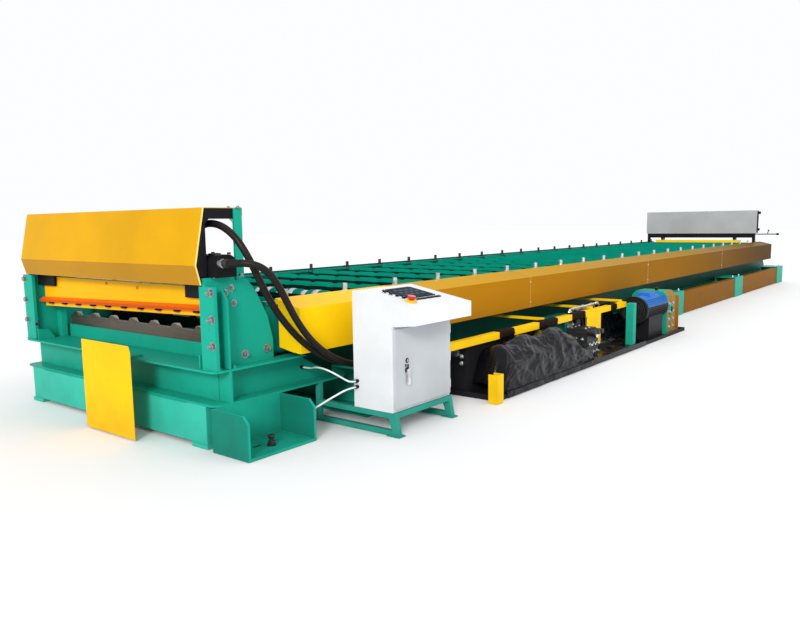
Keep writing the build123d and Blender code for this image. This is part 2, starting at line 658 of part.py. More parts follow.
def shear_base_frame():
    inner_y = CHANNEL_OUTER_Y - CHANNEL_DEPTH
    inner_front = SHEAR_FRONT_X + CHANNEL_DEPTH

    def ring(outset, inset_y, inset_x, z0, z1):
        outer = make_face(Polyline(
            (CHANNEL_REAR_X, -CHANNEL_OUTER_Y + outset), (SHEAR_FRONT_X + outset, -CHANNEL_OUTER_Y + outset),
            (SHEAR_FRONT_X + outset, CHANNEL_OUTER_Y - outset), (CHANNEL_REAR_X, CHANNEL_OUTER_Y - outset),
            close=True))
        solid = extrude(Pos(0, 0, z0) * outer, z1 - z0, dir=(0, 0, 1))
        if outset == 0:
            corners = solid.edges().filter_by(Axis.Z).sort_by(Axis.X)[:2]
            solid = fillet(corners, CHANNEL_CORNER_RADIUS)
        return solid - block(inset_x, CHANNEL_REAR_X + 1, -inset_y, inset_y, z0 - 1, z1 + 1)

    web_out = CHANNEL_DEPTH
    frame = ring(0, inner_y - CHANNEL_WEB, inner_front + CHANNEL_WEB, CHANNEL_BOTTOM_Z,
                 CHANNEL_BOTTOM_Z + CHANNEL_FLANGE)
    frame += ring(0, inner_y - CHANNEL_WEB, DECK_REAR_X, CHANNEL_TOP_Z - CHANNEL_FLANGE, CHANNEL_TOP_Z)
    frame += ring(web_out, inner_y - CHANNEL_WEB, inner_front + CHANNEL_WEB,
                  CHANNEL_BOTTOM_Z + CHANNEL_FLANGE, CHANNEL_TOP_Z - CHANNEL_FLANGE)
    rake = [(CHANNEL_REAR_TOP_X, CHANNEL_TOP_Z + 1), (CHANNEL_REAR_X + 1, CHANNEL_TOP_Z + 1),
            (CHANNEL_REAR_X + 1, CHANNEL_BOTTOM_Z + CHANNEL_FLANGE)]
    for y0, y1 in ((-CHANNEL_OUTER_Y - 1, -inner_y + CHANNEL_WEB + 1),
                   (inner_y - CHANNEL_WEB - 1, CHANNEL_OUTER_Y + 1)):
        frame -= side_plate(rake, y0, y1)
    for y0, y1 in ((-CHANNEL_OUTER_Y, -inner_y), (inner_y, CHANNEL_OUTER_Y)):
        frame += block(RIB_X, RIB_X + RIB_THICK, y0, y1, CHANNEL_BOTTOM_Z + CHANNEL_FLANGE,
                       CHANNEL_TOP_Z - CHANNEL_FLANGE)
    return frame


def shear_skirt():
    top = CHANNEL_BOTTOM_Z
    shell = block(SHEAR_FRONT_X, SKIRT_REAR_X, -SKIRT_HALF_WIDTH, SKIRT_HALF_WIDTH, PAD_THICK, top)
    shell -= block(SHEAR_FRONT_X + SKIRT_THICK, SKIRT_REAR_X + 1, -SKIRT_HALF_WIDTH + SKIRT_THICK,
                   SKIRT_HALF_WIDTH - SKIRT_THICK, PAD_THICK - 1, top + 1)
    for side in (-1, 1):
        inner = side * (SKIRT_HALF_WIDTH - PAD_WIDTH)
        outer = side * (SKIRT_HALF_WIDTH + PAD_EDGE_Y)
        for x0, x1 in ((SHEAR_FRONT_X - PAD_EDGE_X, SHEAR_FRONT_X + PAD_LENGTH),
                       (SKIRT_REAR_X - PAD_LENGTH, SKIRT_REAR_X + PAD_EDGE_X)):
            shell += block(x0, x1, min(inner, outer), max(inner, outer), 0, PAD_THICK)
    return shell


def foot_bracket():
    outer = FOOT_OUTER_Y
    inner = CHANNEL_OUTER_Y - FOOT_PLATE
    top = CHANNEL_BOTTOM_Z
    base = block(FOOT_FRONT_X, FOOT_REAR_X, -outer, -inner, 0, FOOT_PLATE)
    back = block(FOOT_FRONT_X, FOOT_REAR_X, -CHANNEL_OUTER_Y, -inner, FOOT_PLATE, top)
    gusset = cross_profile(
        [(-CHANNEL_OUTER_Y, FOOT_PLATE), (-CHANNEL_OUTER_Y, top), (-outer + FOOT_GUSSET_CHAMFER, top),
         (-outer, top - FOOT_GUSSET_CHAMFER), (-outer, FOOT_PLATE)], FOOT_FRONT_X, FOOT_FRONT_X + FOOT_PLATE)
    bracket = base + back + gusset + Pos(FOOT_REAR_X - FOOT_FRONT_X - FOOT_PLATE, 0, 0) * gusset
    hole = cylinder_z(-1, FOOT_PLATE + 1, (FOOT_FRONT_X + FOOT_REAR_X) / 2, -ANCHOR_OUTER_Y, ANCHOR_RADIUS)
    return bracket - hole


def shear_cheek():
    outer = CHEEK_INNER_Y + CHEEK_THICK
    foot = CHANNEL_TOP_Z
    outline = [(CHEEK_FRONT_X, foot), (CHEEK_FRONT_X, CHEEK_TOP_Z), (CHEEK_TOP_REAR_X, CHEEK_TOP_Z)]
    outline += CHEEK_SLOPE
    outline += [(CHEEK_REAR_X, foot)]
    side = side_plate(outline, -outer, -CHEEK_INNER_Y)
    flange = block(CHEEK_FRONT_X, CHEEK_FRONT_X + CHEEK_THICK, -CHEEK_FLANGE_OUTER_Y, -CHEEK_FLANGE_INNER_Y,
                   foot, CHEEK_FLANGE_TOP_Z)
    rib = cross_profile([(-outer, foot), (-outer, RIB_INNER_Z), (-outer - RIB_TOP_WIDTH_Y, RIB_INNER_Z),
                         (-CHEEK_FLANGE_OUTER_Y, RIB_OUTER_Z), (-CHEEK_FLANGE_OUTER_Y, foot)],
                        RIB_X, RIB_X + RIB_THICK)
    return side + flange + rib


def shear_crosshead():
    outer = CHEEK_INNER_Y + CHEEK_THICK
    plate = block(CHEEK_FRONT_X, CHEEK_FRONT_X + CROSSHEAD_DEPTH, -outer, outer, CHEEK_TOP_Z,
                  CHEEK_TOP_Z + CROSSHEAD_THICK)
    beam_x = BEAM_FRONT_X + BEAM_THICK / 2
    for side in (-1, 1):
        plate -= cylinder_z(CHEEK_TOP_Z - 1, CHEEK_TOP_Z + CROSSHEAD_THICK + 1, beam_x, side * ROD_Y,
                            ROD_RADIUS + GUIDE_CLEARANCE)
    return plate


def shear_cylinders():
    body = block(CYLINDER_FRONT_X, CYLINDER_REAR_X, -CYLINDER_OUTER_Y, -CYLINDER_INNER_Y,
                 CHEEK_TOP_Z + CROSSHEAD_THICK, CYLINDER_TOP_Z)
    long_edges = body.edges().filter_by(Axis.Y).sort_by(Axis.Z)[-2:]
    body = fillet(long_edges, CYLINDER_ROUND)
    beam_x = BEAM_FRONT_X + BEAM_THICK / 2
    bore = cylinder_z(CHEEK_TOP_Z, CYLINDER_TOP_Z - CYLINDER_HEAD, beam_x, -ROD_Y, ROD_RADIUS + ROD_CLEARANCE)
    return both_sides(body - bore)


def cylinder_rods():
    beam_x = BEAM_FRONT_X + BEAM_THICK / 2
    top = CYLINDER_TOP_Z - CYLINDER_HEAD - ROD_END_GAP
    return both_sides(cylinder_z(BEAM_TOP_Z, top, beam_x, -ROD_Y, ROD_RADIUS))


def wave_edge(half_length, valley_z, rib_height):
    """The panel's trapezoid ribs as points in Y and Z from one end of a blade to the other."""
    points = [(-half_length, valley_z)]
    count = int((2 * (half_length - RIB_END_MARGIN) - RIB_FOOT_WIDTH) / RIB_PITCH) + 1
    first = -(count - 1) / 2 * RIB_PITCH
    for number in range(count):
        y = first + number * RIB_PITCH
        points += [(y - RIB_FOOT_WIDTH / 2, valley_z), (y - RIB_TOP_WIDTH / 2, valley_z + rib_height),
                   (y + RIB_TOP_WIDTH / 2, valley_z + rib_height), (y + RIB_FOOT_WIDTH / 2, valley_z)]
    return points + [(half_length, valley_z)]


def lower_die():
    top = wave_edge(DIE_HALF_LENGTH, DIE_VALLEY_Z, DIE_RIB_HEIGHT)
    return cross_profile([(-DIE_HALF_LENGTH, DIE_BOTTOM_Z)] + top + [(DIE_HALF_LENGTH, DIE_BOTTOM_Z)],
                         DIE_FRONT_X, DIE_FRONT_X + DIE_THICK)


def blade_beam():
    """The raked beam, with the blade holder behind it stiffened by ribs."""
    front = BEAM_FRONT_X
    rear = front + BEAM_THICK
    half = BEAM_HALF_LENGTH
    beam = cross_profile([(-half, BEAM_NEAR_Z), (-half, BEAM_TOP_Z), (half, BEAM_TOP_Z), (half, BEAM_FAR_Z)],
                         front, rear)
    holder_end = DIE_FRONT_X - BLADE_GAP
    holder_top = HOLDER_Z + HOLDER_THICK
    beam += block(rear, holder_end, -HOLDER_HALF_LENGTH, HOLDER_HALF_LENGTH, HOLDER_Z, holder_top)
    rib = [(rear, holder_top), (rear, BEAM_RIB_TOP_Z), (rear + BEAM_RIB_TIP, BEAM_RIB_TOP_Z),
           (holder_end, holder_top + BEAM_RIB_TIP), (holder_end, holder_top)]
    for number in range(BEAM_RIB_COUNT):
        y = (number - (BEAM_RIB_COUNT - 1) / 2) * BEAM_RIB_PITCH
        beam += side_plate(rib, y - BEAM_RIB_THICK / 2, y + BEAM_RIB_THICK / 2)
    return beam


def beam_bottom(y):
    near_share = (BEAM_HALF_LENGTH - y) / (2 * BEAM_HALF_LENGTH)
    return BEAM_FAR_Z + (BEAM_NEAR_Z - BEAM_FAR_Z) * near_share


def clamp_bar():
    """The bevelled bar along the front of the beam, raked with it."""
    half = LEDGE_HALF_LENGTH
    rings = []
    for y in (-half, half):
        low = beam_bottom(y) + LEDGE_RISE
        rings.append(Plane((0, y, 0), x_dir=(1, 0, 0), z_dir=(0, -1, 0)) * make_face(Polyline(
            (BEAM_FRONT_X, low), (BEAM_FRONT_X, low + LEDGE_HEIGHT),
            (BEAM_FRONT_X - LEDGE_DEPTH, low + LEDGE_HEIGHT * 0.6), (BEAM_FRONT_X - LEDGE_DEPTH, low + 4),
            close=True)))
    return loft(rings, ruled=True)


def upper_blade():
    rear = DIE_FRONT_X - BLADE_GAP
    bottom = wave_edge(DIE_HALF_LENGTH, BLADE_BOTTOM_Z, DIE_RIB_HEIGHT)
    return cross_profile([(-DIE_HALF_LENGTH, HOLDER_Z)] + bottom + [(DIE_HALF_LENGTH, HOLDER_Z)],
                         rear - BLADE_THICK, rear)


def blade_guides():
    ahead = BEAM_FRONT_X - GUIDE_CLEARANCE
    return both_sides(block(ahead - GUIDE_THICK, ahead, -CHEEK_INNER_Y, -GUIDE_INNER_Y, GUIDE_BOTTOM_Z,
                            CHEEK_TOP_Z))


def guide_columns():
    return both_sides(block(COLUMN_X0, COLUMN_X1, -CHEEK_INNER_Y, -COLUMN_INNER_Y, CHANNEL_TOP_Z, CHEEK_TOP_Z))


def die_support():
    return block(DIE_FRONT_X, DECK_REAR_X, -CHEEK_INNER_Y, CHEEK_INNER_Y, CHANNEL_TOP_Z, DIE_BOTTOM_Z)


def drop_plate():
    """A hanging plate in front of the shear on two flat arms that lie on the deck."""
    rear = DROP_PLATE_FRONT_X + DROP_PLATE_THICK
    outline = [(DROP_PLATE_Y0, FLOOR_CLEARANCE), (DROP_PLATE_Y0, DROP_PLATE_TOP_Z - DROP_PLATE_CORNER),
               (DROP_PLATE_Y0 + DROP_PLATE_NOTCH, DROP_PLATE_TOP_Z),
               (DROP_PLATE_Y1, DROP_PLATE_TOP_Z), (DROP_PLATE_Y1, FLOOR_CLEARANCE)]
    plate = cross_profile(outline, DROP_PLATE_FRONT_X, rear)
    for y in DROP_ARM_YS:
        plate += block(rear, SHEAR_FRONT_X + DROP_ARM_LAP, y - DROP_ARM_WIDTH / 2, y + DROP_ARM_WIDTH / 2,
                       CHANNEL_TOP_Z, CHANNEL_TOP_Z + DROP_ARM_THICK)
    return plate


HOOD_LINE = [(HOOD_REAR_X, HOOD_TOP_Z - HOOD_RETURN), (HOOD_REAR_X, HOOD_TOP_Z), (HOOD_TOP_FRONT_X, HOOD_TOP_Z),
             (HOOD_FOLD_X, HOOD_FOLD_Z), (HOOD_LIP_X, HOOD_LIP_Z)]


def shear_hood():
    return side_plate(folded_sheet(HOOD_LINE, HOOD_THICK), -HOOD_HALF_LENGTH, HOOD_HALF_LENGTH)


def hood_ends():
    """The end plate inside each end of the hood, cut out behind its front and top bands."""
    loop = folded_sheet(HOOD_LINE, HOOD_THICK)
    inner = loop[len(HOOD_LINE):][::-1]
    top_z = HOOD_TOP_Z - HOOD_THICK
    fold, lip = inner[3], inner[4]
    share = (fold[1] - HOOD_END_LOW_Z) / (fold[1] - lip[1])
    outline = [(HOOD_POST_X0, top_z), inner[2], fold, (fold[0] + share * (lip[0] - fold[0]), HOOD_END_LOW_Z)]
    outline += [(HOOD_END_INNER_X, HOOD_END_LOW_Z), (HOOD_END_INNER_X, HOOD_END_BAND_Z - HOOD_END_CORNER),
                (HOOD_END_INNER_X + HOOD_END_CORNER, HOOD_END_BAND_Z), (HOOD_POST_X0, HOOD_END_BAND_Z)]
    return both_sides(side_plate(outline, -HOOD_HALF_LENGTH, -HOOD_HALF_LENGTH + HOOD_THICK))


def hood_posts():
    outer = CHEEK_INNER_Y + CHEEK_THICK - HOOD_POST_INSET
    return both_sides(block(HOOD_POST_X0, HOOD_POST_X1, -outer, -outer + HOOD_POST_THICK, CHEEK_TOP_Z,
                            HOOD_TOP_Z - HOOD_THICK))


# Infeed guard

def infeed_panel():
    x = GUARD_X - GUARD_POST / 2
    return block(x - GUARD_THICK, x, -GUARD_HALF_WIDTH, GUARD_HALF_WIDTH, GUARD_BOTTOM_Z, GUARD_TOP_Z)


def infeed_frame():
    base = WALL_TOP_Z + CAP_THICK
    half = GUARD_POST / 2
    frame = block(GUARD_X - half, GUARD_X + half, -WALL_Y - half, -WALL_Y + half, base, GUARD_TOP_Z)
    frame += far_side(frame)
    frame += block(GUARD_X - half, GUARD_X + half, -WALL_Y + half, WALL_Y - half, INFEED_BEAM_Z, GUARD_BOTTOM_Z)
    for side in (-1, 1):
        y = side * HANGER_Y
        frame += block(INFEED_BAR_X - half, GUARD_X - half, y - HANGER_WIDTH / 2, y + HANGER_WIDTH / 2,
                       INFEED_BAR_Z + INFEED_BAR_SIZE, HANGER_TOP_Z)
    return frame


def infeed_bar():
    half = INFEED_BAR_SIZE / 2
    return block(INFEED_BAR_X - half, INFEED_BAR_X + half, -INFEED_BAR_HALF, INFEED_BAR_HALF, INFEED_BAR_Z,
                 INFEED_BAR_Z + INFEED_BAR_SIZE)


def infeed_lever():
    y0 = -WALL_Y - GUARD_POST / 2
    rod = cylinder_y(y0 - LEVER_LENGTH, y0, GUARD_X, LEVER_Z, LEVER_RADIUS)
    knob = cylinder_y(y0 - LEVER_LENGTH - LEVER_KNOB_LENGTH, y0 - LEVER_LENGTH, GUARD_X, LEVER_Z,
                      LEVER_KNOB_RADIUS)
    return rod + knob


# Control cabinet

CONSOLE_SLOPE = math.degrees(math.atan2(CONSOLE_BACK_Z - CONSOLE_LIP_TOP_Z, CABINET_BACK_Y - CONSOLE_LIP_Y))


def console_place(x, y):
    """A frame on the sloping console top, with its Z square to the sheet."""
    rise = (y - CONSOLE_LIP_Y) * math.tan(math.radians(CONSOLE_SLOPE))
    return Pos(x, y, CONSOLE_LIP_TOP_Z + rise) * Rot(CONSOLE_SLOPE, 0, 0)


def cabinet_body():
    outline = [(CABINET_FRONT_Y, CABINET_BASE_Z), (CABINET_BACK_Y, CABINET_BASE_Z),
               (CABINET_BACK_Y, CONSOLE_BACK_Z), (CONSOLE_LIP_Y, CONSOLE_LIP_TOP_Z),
               (CONSOLE_LIP_Y, CONSOLE_LIP_BOTTOM_Z), (CABINET_FRONT_Y, CONSOLE_UNDER_Z)]
    body = cross_profile(outline, CABINET_X0, CABINET_X1)
    inside = make_face(Plane.YZ * Polyline(*outline, close=True))
    hollow = Pos(CABINET_X0 + CABINET_SHELL, 0, 0) * extrude(
        offset(inside, -CABINET_SHELL, kind=Kind.INTERSECTION), CABINET_X1 - CABINET_X0 - 2 * CABINET_SHELL,
        dir=(1, 0, 0))
    doorway = block(CABINET_X0 + DOOR_OPENING_MARGIN, CABINET_X1 - DOOR_OPENING_MARGIN,
                    CABINET_FRONT_Y - 1, CABINET_FRONT_Y + CABINET_SHELL + 1,
                    DOOR_BOTTOM_Z + DOOR_OPENING_MARGIN, DOOR_TOP_Z - DOOR_OPENING_MARGIN)
    return body - hollow - doorway


def cabinet_door():
    y1 = CABINET_FRONT_Y - DOOR_SEAT_GAP
    leaf = block(CABINET_X0 + DOOR_MARGIN, CABINET_X1 - DOOR_MARGIN, y1 - DOOR_THICK, y1,
                 DOOR_BOTTOM_Z, DOOR_TOP_Z)
    face_y = y1 - DOOR_THICK
    escutcheon = cylinder_y(face_y - ESCUTCHEON_HEIGHT, face_y, HANDLE_X, HANDLE_Z, ESCUTCHEON_RADIUS)
    return leaf + escutcheon


def door_handle():
    y1 = CABINET_FRONT_Y - DOOR_SEAT_GAP - DOOR_THICK - ESCUTCHEON_HEIGHT - HANDLE_GAP
    lever = SlotOverall(HANDLE_LENGTH, HANDLE_WIDTH, rotation=90)
    solid = extrude(Plane.XZ * lever, HANDLE_THICK)
    return Pos(HANDLE_X, y1, HANDLE_Z - HANDLE_LENGTH / 2 + HANDLE_WIDTH / 2) * solid


def screen():
    return console_place(SCREEN_X, SCREEN_Y) * Pos(0, 0, SCREEN_THICK / 2) * Box(
        SCREEN_WIDTH, SCREEN_DEPTH, SCREEN_THICK)


def stop_ring():
    ring = Cylinder(STOP_RING_RADIUS, STOP_RING_HEIGHT)
    ring -= Cylinder(STOP_STEM_RADIUS + STOP_CLEARANCE, STOP_RING_HEIGHT)
    return console_place(STOP_X, STOP_Y) * Pos(0, 0, STOP_RING_HEIGHT / 2) * ring


def stop_button():
    lift = STOP_RING_HEIGHT + STOP_TRAVEL + STOP_CLEARANCE
    foot = STOP_TRAVEL + 2 * STOP_CLEARANCE
    stem = Pos(0, 0, (lift + foot) / 2) * Cylinder(STOP_STEM_RADIUS, lift - foot)
    head = Pos(0, 0, lift + STOP_HEAD_HEIGHT / 2) * Cylinder(STOP_HEAD_RADIUS, STOP_HEAD_HEIGHT)
    return console_place(STOP_X, STOP_Y) * (stem + head)


def cabinet_stand():
    """Two side frames with raked front legs on foot pads, joined by cross tubes, tied to the base."""
    tube = STAND_TUBE
    top = CABINET_BASE_Z
    front = CABINET_FRONT_Y - STAND_NOSE
    toe = front - STAND_FOOT_FLARE
    stand = block(CABINET_X0, CABINET_X0 + tube, -CHANNEL_OUTER_Y, -CHANNEL_OUTER_Y + tube, top,
                  CHANNEL_BOTTOM_Z)
    for x0, back in ((CABINET_X0, -CHANNEL_OUTER_Y + tube), (CABINET_X1 - tube, -BASE_HALF_WIDTH)):
        outline = [(toe, 0), (back, 0), (back, top), (front, top)]
        window = [(toe + STAND_LEG, tube), (back - tube, tube), (back - tube, top - tube),
                  (front + STAND_LEG, top - tube)]
        stand += cross_profile(outline, x0, x0 + tube) - cross_profile(window, x0 - 1, x0 + tube + 1)
        stand += block(x0 - STAND_PAD_EDGE, x0 + tube + STAND_PAD_EDGE, toe - STAND_PAD_EDGE,
                       toe + STAND_PAD_LENGTH, 0, STAND_PAD_THICK)
    for y0 in (front, CABINET_BACK_Y - tube):
        stand += block(CABINET_X0 + tube, CABINET_X1 - tube, y0, y0 + tube, top - tube, top)
    return stand


# Drive and hydraulic unit

def drip_tray():
    outer = block(TRAY_X0, TRAY_X1, TRAY_OUTER_Y, TRAY_INNER_Y, 0, TRAY_RIM)
    return outer - block(TRAY_X0 + TRAY_THICK, TRAY_X1 - TRAY_THICK, TRAY_OUTER_Y + TRAY_THICK,
                         TRAY_INNER_Y - TRAY_THICK, TRAY_THICK, TRAY_RIM + 1)


def oil_tank():
    body = block(TANK_X0, TANK_X1, TANK_OUTER_Y, TANK_INNER_Y, TRAY_THICK, TANK_TOP_Z - TANK_LID)
    lid = block(TANK_X0 - TANK_LID, TANK_X1 + TANK_LID, TANK_OUTER_Y, TANK_INNER_Y, TANK_TOP_Z - TANK_LID,
                TANK_TOP_Z)
    middle = (TANK_OUTER_Y + TANK_INNER_Y) / 2
    breather = cylinder_z(TANK_TOP_Z, TANK_TOP_Z + BREATHER_HEIGHT, BREATHER_X, middle, BREATHER_RADIUS)
    return body + lid + breather


def soft_cover():
    """The sheet thrown over the pump set, as one closed mass with sloping sides."""
    back = TANK_OUTER_Y - SOFT_GAP
    front = SOFT_COVER_OUTER_Y
    outline = [(front, TRAY_THICK), (back, TRAY_THICK), (back, SOFT_BACK_Z), (SOFT_RIDGE_Y, SOFT_RIDGE_Z),
               (front + SOFT_SLOPE, SOFT_SHOULDER_Z)]
    mass = cross_profile(outline, SOFT_COVER_X0, SOFT_COVER_X1)
    ends = mass.edges().group_by(Axis.X)[0] + mass.edges().group_by(Axis.X)[-1]
    return chamfer(ends.filter_by(lambda edge: edge.center().Z > SOFT_SHOULDER_Z), SOFT_SLOPE)


def valve_block():
    """A manifold on the tray, with a row of solenoid valves on top."""
    block_top = VALVE_TOP_Z - VALVE_HEIGHT
    body = block(VALVE_X0, VALVE_X1, VALVE_Y0, VALVE_Y1, TRAY_THICK, block_top)
    pitch = (VALVE_X1 - VALVE_X0) / VALVE_COUNT
    for number in range(VALVE_COUNT):
        x = VALVE_X0 + (number + 0.5) * pitch
        body += block(x - VALVE_WIDTH / 2, x + VALVE_WIDTH / 2, VALVE_Y0 + VALVE_INSET, VALVE_Y1 - VALVE_INSET,
                      block_top, VALVE_TOP_Z)
        body += cylinder_y(VALVE_Y0 - SOLENOID_LENGTH, VALVE_Y0 + VALVE_INSET, x, block_top + VALVE_HEIGHT / 2,
                           SOLENOID_RADIUS)
    return body


def drive_motor():
    """A foot mounted motor with a fan cowl at its rear end and a terminal box on top."""
    body = cylinder_x(MOTOR_X0, MOTOR_X1, MOTOR_Y, MOTOR_Z, MOTOR_RADIUS)
    body += cylinder_x(MOTOR_X0 - MOTOR_COWL, MOTOR_X0, MOTOR_Y, MOTOR_Z, MOTOR_RADIUS + COWL_STEP)
    body += block(MOTOR_X0 + MOTOR_FOOT_INSET, MOTOR_X1 - MOTOR_FOOT_INSET, MOTOR_Y - MOTOR_FOOT_HALF,
                  MOTOR_Y + MOTOR_FOOT_HALF, TRAY_THICK, MOTOR_FOOT_TOP_Z)
    middle = (MOTOR_X0 + MOTOR_X1) / 2
    terminals = block(middle - TERMINAL_HALF_LENGTH, middle + TERMINAL_HALF_LENGTH,
                      MOTOR_Y - TERMINAL_HALF_WIDTH, MOTOR_Y + TERMINAL_HALF_WIDTH, MOTOR_Z,
                      MOTOR_Z + MOTOR_RADIUS + TERMINAL_RISE)
    return body + terminals


def drive_gearbox():
    """A foot mounted gear case with chamfered shoulders and a joint seam round its outer side."""
    foot_z = TRAY_THICK + GEARBOX_FOOT
    shoulder_z = GEARBOX_TOP_Z - GEARBOX_CHAMFER
    section = [(GEARBOX_OUTER_Y - GEARBOX_FOOT_STEP, TRAY_THICK), (GEARBOX_INNER_Y, TRAY_THICK),
               (GEARBOX_INNER_Y, shoulder_z), (GEARBOX_INNER_Y - GEARBOX_CHAMFER, GEARBOX_TOP_Z),
               (GEARBOX_OUTER_Y + GEARBOX_CHAMFER, GEARBOX_TOP_Z), (GEARBOX_OUTER_Y, shoulder_z),
               (GEARBOX_OUTER_Y, foot_z), (GEARBOX_OUTER_Y - GEARBOX_FOOT_STEP, foot_z)]
    case = cross_profile(section, MOTOR_X1, GEARBOX_X1)
    middle = (MOTOR_X1 + GEARBOX_X1) / 2
    seam = block(middle - GEARBOX_SEAM / 2, middle + GEARBOX_SEAM / 2, GEARBOX_OUTER_Y - GEARBOX_SEAM_STEP,
                 GEARBOX_OUTER_Y, foot_z, shoulder_z)
    return case + seam


def guard_rail():
    """An angle rail outboard of the tank, carried by arms from the bed rail, with a hanging plate."""
    y = GUARD_RAIL_Y
    z = GUARD_RAIL_Z
    low = z - GUARD_RAIL_SIZE
    angle = [(y, low), (y, z), (y + GUARD_RAIL_SIZE, z), (y + GUARD_RAIL_SIZE, z - GUARD_RAIL_THICK),
             (y + GUARD_RAIL_THICK, z - GUARD_RAIL_THICK), (y + GUARD_RAIL_THICK, low)]
    rail = cross_profile(angle, GUARD_RAIL_X0, MOTOR_X0 - MOTOR_COWL - GUARD_RAIL_THICK)
    web = -(RAIL_OUTER_Y - RAIL_WIDTH / 2) - RAIL_WEB / 2
    for x in GUARD_ARM_XS:
        rail += block(x - GUARD_ARM / 2, x + GUARD_ARM / 2, y + GUARD_RAIL_SIZE - GUARD_ARM_LAP, web, z,
                      z + GUARD_ARM / 2)
    return rail + block(GUARD_PLATE_X0, GUARD_PLATE_X1, y, y + GUARD_RAIL_THICK, GUARD_PLATE_Z, low)


def end_guards():
    return [block(x, x + GUARD_RAIL_THICK, GEARBOX_OUTER_Y, GEARBOX_INNER_Y, TRAY_THICK, END_GUARD_TOP_Z)
            for x in END_GUARD_XS]


def guard_post():
    half = GUARD_POST_SIZE / 2
    post = block(GUARD_POST_X - half, GUARD_POST_X + half, GUARD_POST_Y - half, GUARD_POST_Y + half, 0,
                 GUARD_POST_HEIGHT)
    inside = half - GUARD_POST_WALL
    return post - block(GUARD_POST_X - inside, GUARD_POST_X + inside, GUARD_POST_Y - inside,
                        GUARD_POST_Y + half + 1, GUARD_POST_WALL, GUARD_POST_HEIGHT + 1)


def drive_post():
    half = DRIVE_POST_SIZE / 2
    return block(DRIVE_POST_X - half, DRIVE_POST_X + half, DRIVE_POST_Y - half, DRIVE_POST_Y + half, TRAY_THICK,
                 DRIVE_POST_TOP_Z)


# Hoses and cables

def cord(name, points, diameter):
    vectors = [Vector(*point) for point in points]
    radii = []
    for before, here, after in zip(vectors[:-2], vectors[1:-1], vectors[2:]):
        turn = (here - before).get_angle(after - here)
        run = min((here - before).length, (after - here).length)
        radii.append(0.45 * run / math.tan(math.radians(turn) / 2))
    path = FilletPolyline(*vectors, radius=radii)
    section = Plane(path.position_at(0), z_dir=path.tangent_at(0)) * Circle(diameter / 2)
    tube = sweep(section, path=path)
    expected = path.length * math.pi * diameter ** 2 / 4
    print(name, "smallest radius", round(min(radii)), "in diameters", round(min(radii) / diameter, 1),
          "volume ratio", round(tube.volume / expected, 4))
    return tube


def hose_ports():
    side = CYLINDER_OUTER_Y
    ports = [cylinder_z(CHEEK_TOP_Z + CROSSHEAD_THICK, HOOD_PORT_TOP_Z, HOOD_PORT_X, HOOD_PORT_Y,
                        HOSE_PORT_RADIUS),
             cylinder_y(-side - HOSE_PORT_LENGTH, -side, CYLINDER_PORT_X, CYLINDER_PORT_Z, HOSE_PORT_RADIUS)]
    for y in TANK_PORT_YS:
        ports.append(cylinder_x(TANK_X0 - HOSE_PORT_LENGTH, TANK_X0, y, TANK_PORT_Z, HOSE_PORT_RADIUS))
    return ports


def cable_glands():
    web = CHANNEL_OUTER_Y - CHANNEL_DEPTH
    glands = [cylinder_x(CABINET_X0 - GLAND_LENGTH, CABINET_X0, CABLE_EXIT_Y, z, GLAND_RADIUS)
              for z in (CABLE_EXIT_Z, CABLE_EXIT_Z + CABLE_EXIT_STEP)]
    glands.append(cylinder_x(FOOT_REAR_X, FOOT_REAR_X + GLAND_LENGTH, BRACKET_GLAND_Y, BRACKET_GLAND_Z,
                             GLAND_RADIUS))
    glands.append(cylinder_y(-web - GLAND_LENGTH, -web, WEB_GLAND_X, WEB_GLAND_Z, GLAND_RADIUS))
    return glands


os.makedirs("parts", exist_ok=True)
save("bed_rails", bed_rails())
save("bed_sleepers", bed_sleepers())
save("kick_panels", kick_panels())
save("side_walls", side_walls())
save("cap_bars", cap_bars())
save("bearing_blocks", bearing_blocks())
save("upper_rolls", [roll(station_x(n), UPPER_ROLL_Z) for n in range(STATION_COUNT)])
save("lower_rolls", [roll(station_x(n), LOWER_ROLL_Z) for n in range(STATION_COUNT)])
save("tie_bars", tie_bars())
save("adjusting_screws", adjusting_screws())
save("front_cover", front_cover())
save("side_cover_near", side_cover_near())
save("side_cover_far", side_cover_far())
save("shear_base_frame", shear_base_frame())
save("shear_skirt", shear_skirt())
save("foot_bracket", foot_bracket())
save("shear_cheek_near", shear_cheek())
save("shear_cheek_far", far_side(shear_cheek()))
save("shear_crosshead", shear_crosshead())
save("shear_cylinders", shear_cylinders())
save("cylinder_rods", cylinder_rods())
save("lower_die", lower_die())
save("blade_beam", blade_beam())
save("clamp_bar", clamp_bar())
save("upper_blade", upper_blade())
save("blade_guides", blade_guides())
save("guide_columns", guide_columns())
save("die_support", die_support())
save("drop_plate", drop_plate())
save("shear_hood", shear_hood())
save("hood_ends", hood_ends())
save("hood_posts", hood_posts())
save("infeed_panel", infeed_panel())
save("infeed_frame", infeed_frame())
save("infeed_bar", infeed_bar())
save("infeed_lever", infeed_lever())
save("cabinet_body", cabinet_body())
save("cabinet_door", cabinet_door())
save("door_handle", door_handle())
save("control_screen", screen())
save("stop_ring", stop_ring())
save("stop_button", stop_button())
save("cabinet_stand", cabinet_stand())
save("drip_tray", drip_tray())
save("oil_tank", oil_tank())
save("soft_cover", soft_cover())
save("valve_block", valve_block())
save("drive_motor", drive_motor())
save("drive_gearbox", drive_gearbox())
save("guard_rail", guard_rail())
save("end_guards", end_guards())
save("guard_post", guard_post())
save("drive_post", drive_post())
save("hose_ports", hose_ports())
save("cable_glands", cable_glands())
save("hose_upper", cord("hose_upper", HOSE_UPPER_ROUTE, HOSE_DIAMETER))
save("hose_lower", cord("hose_lower", HOSE_LOWER_ROUTE, HOSE_DIAMETER))
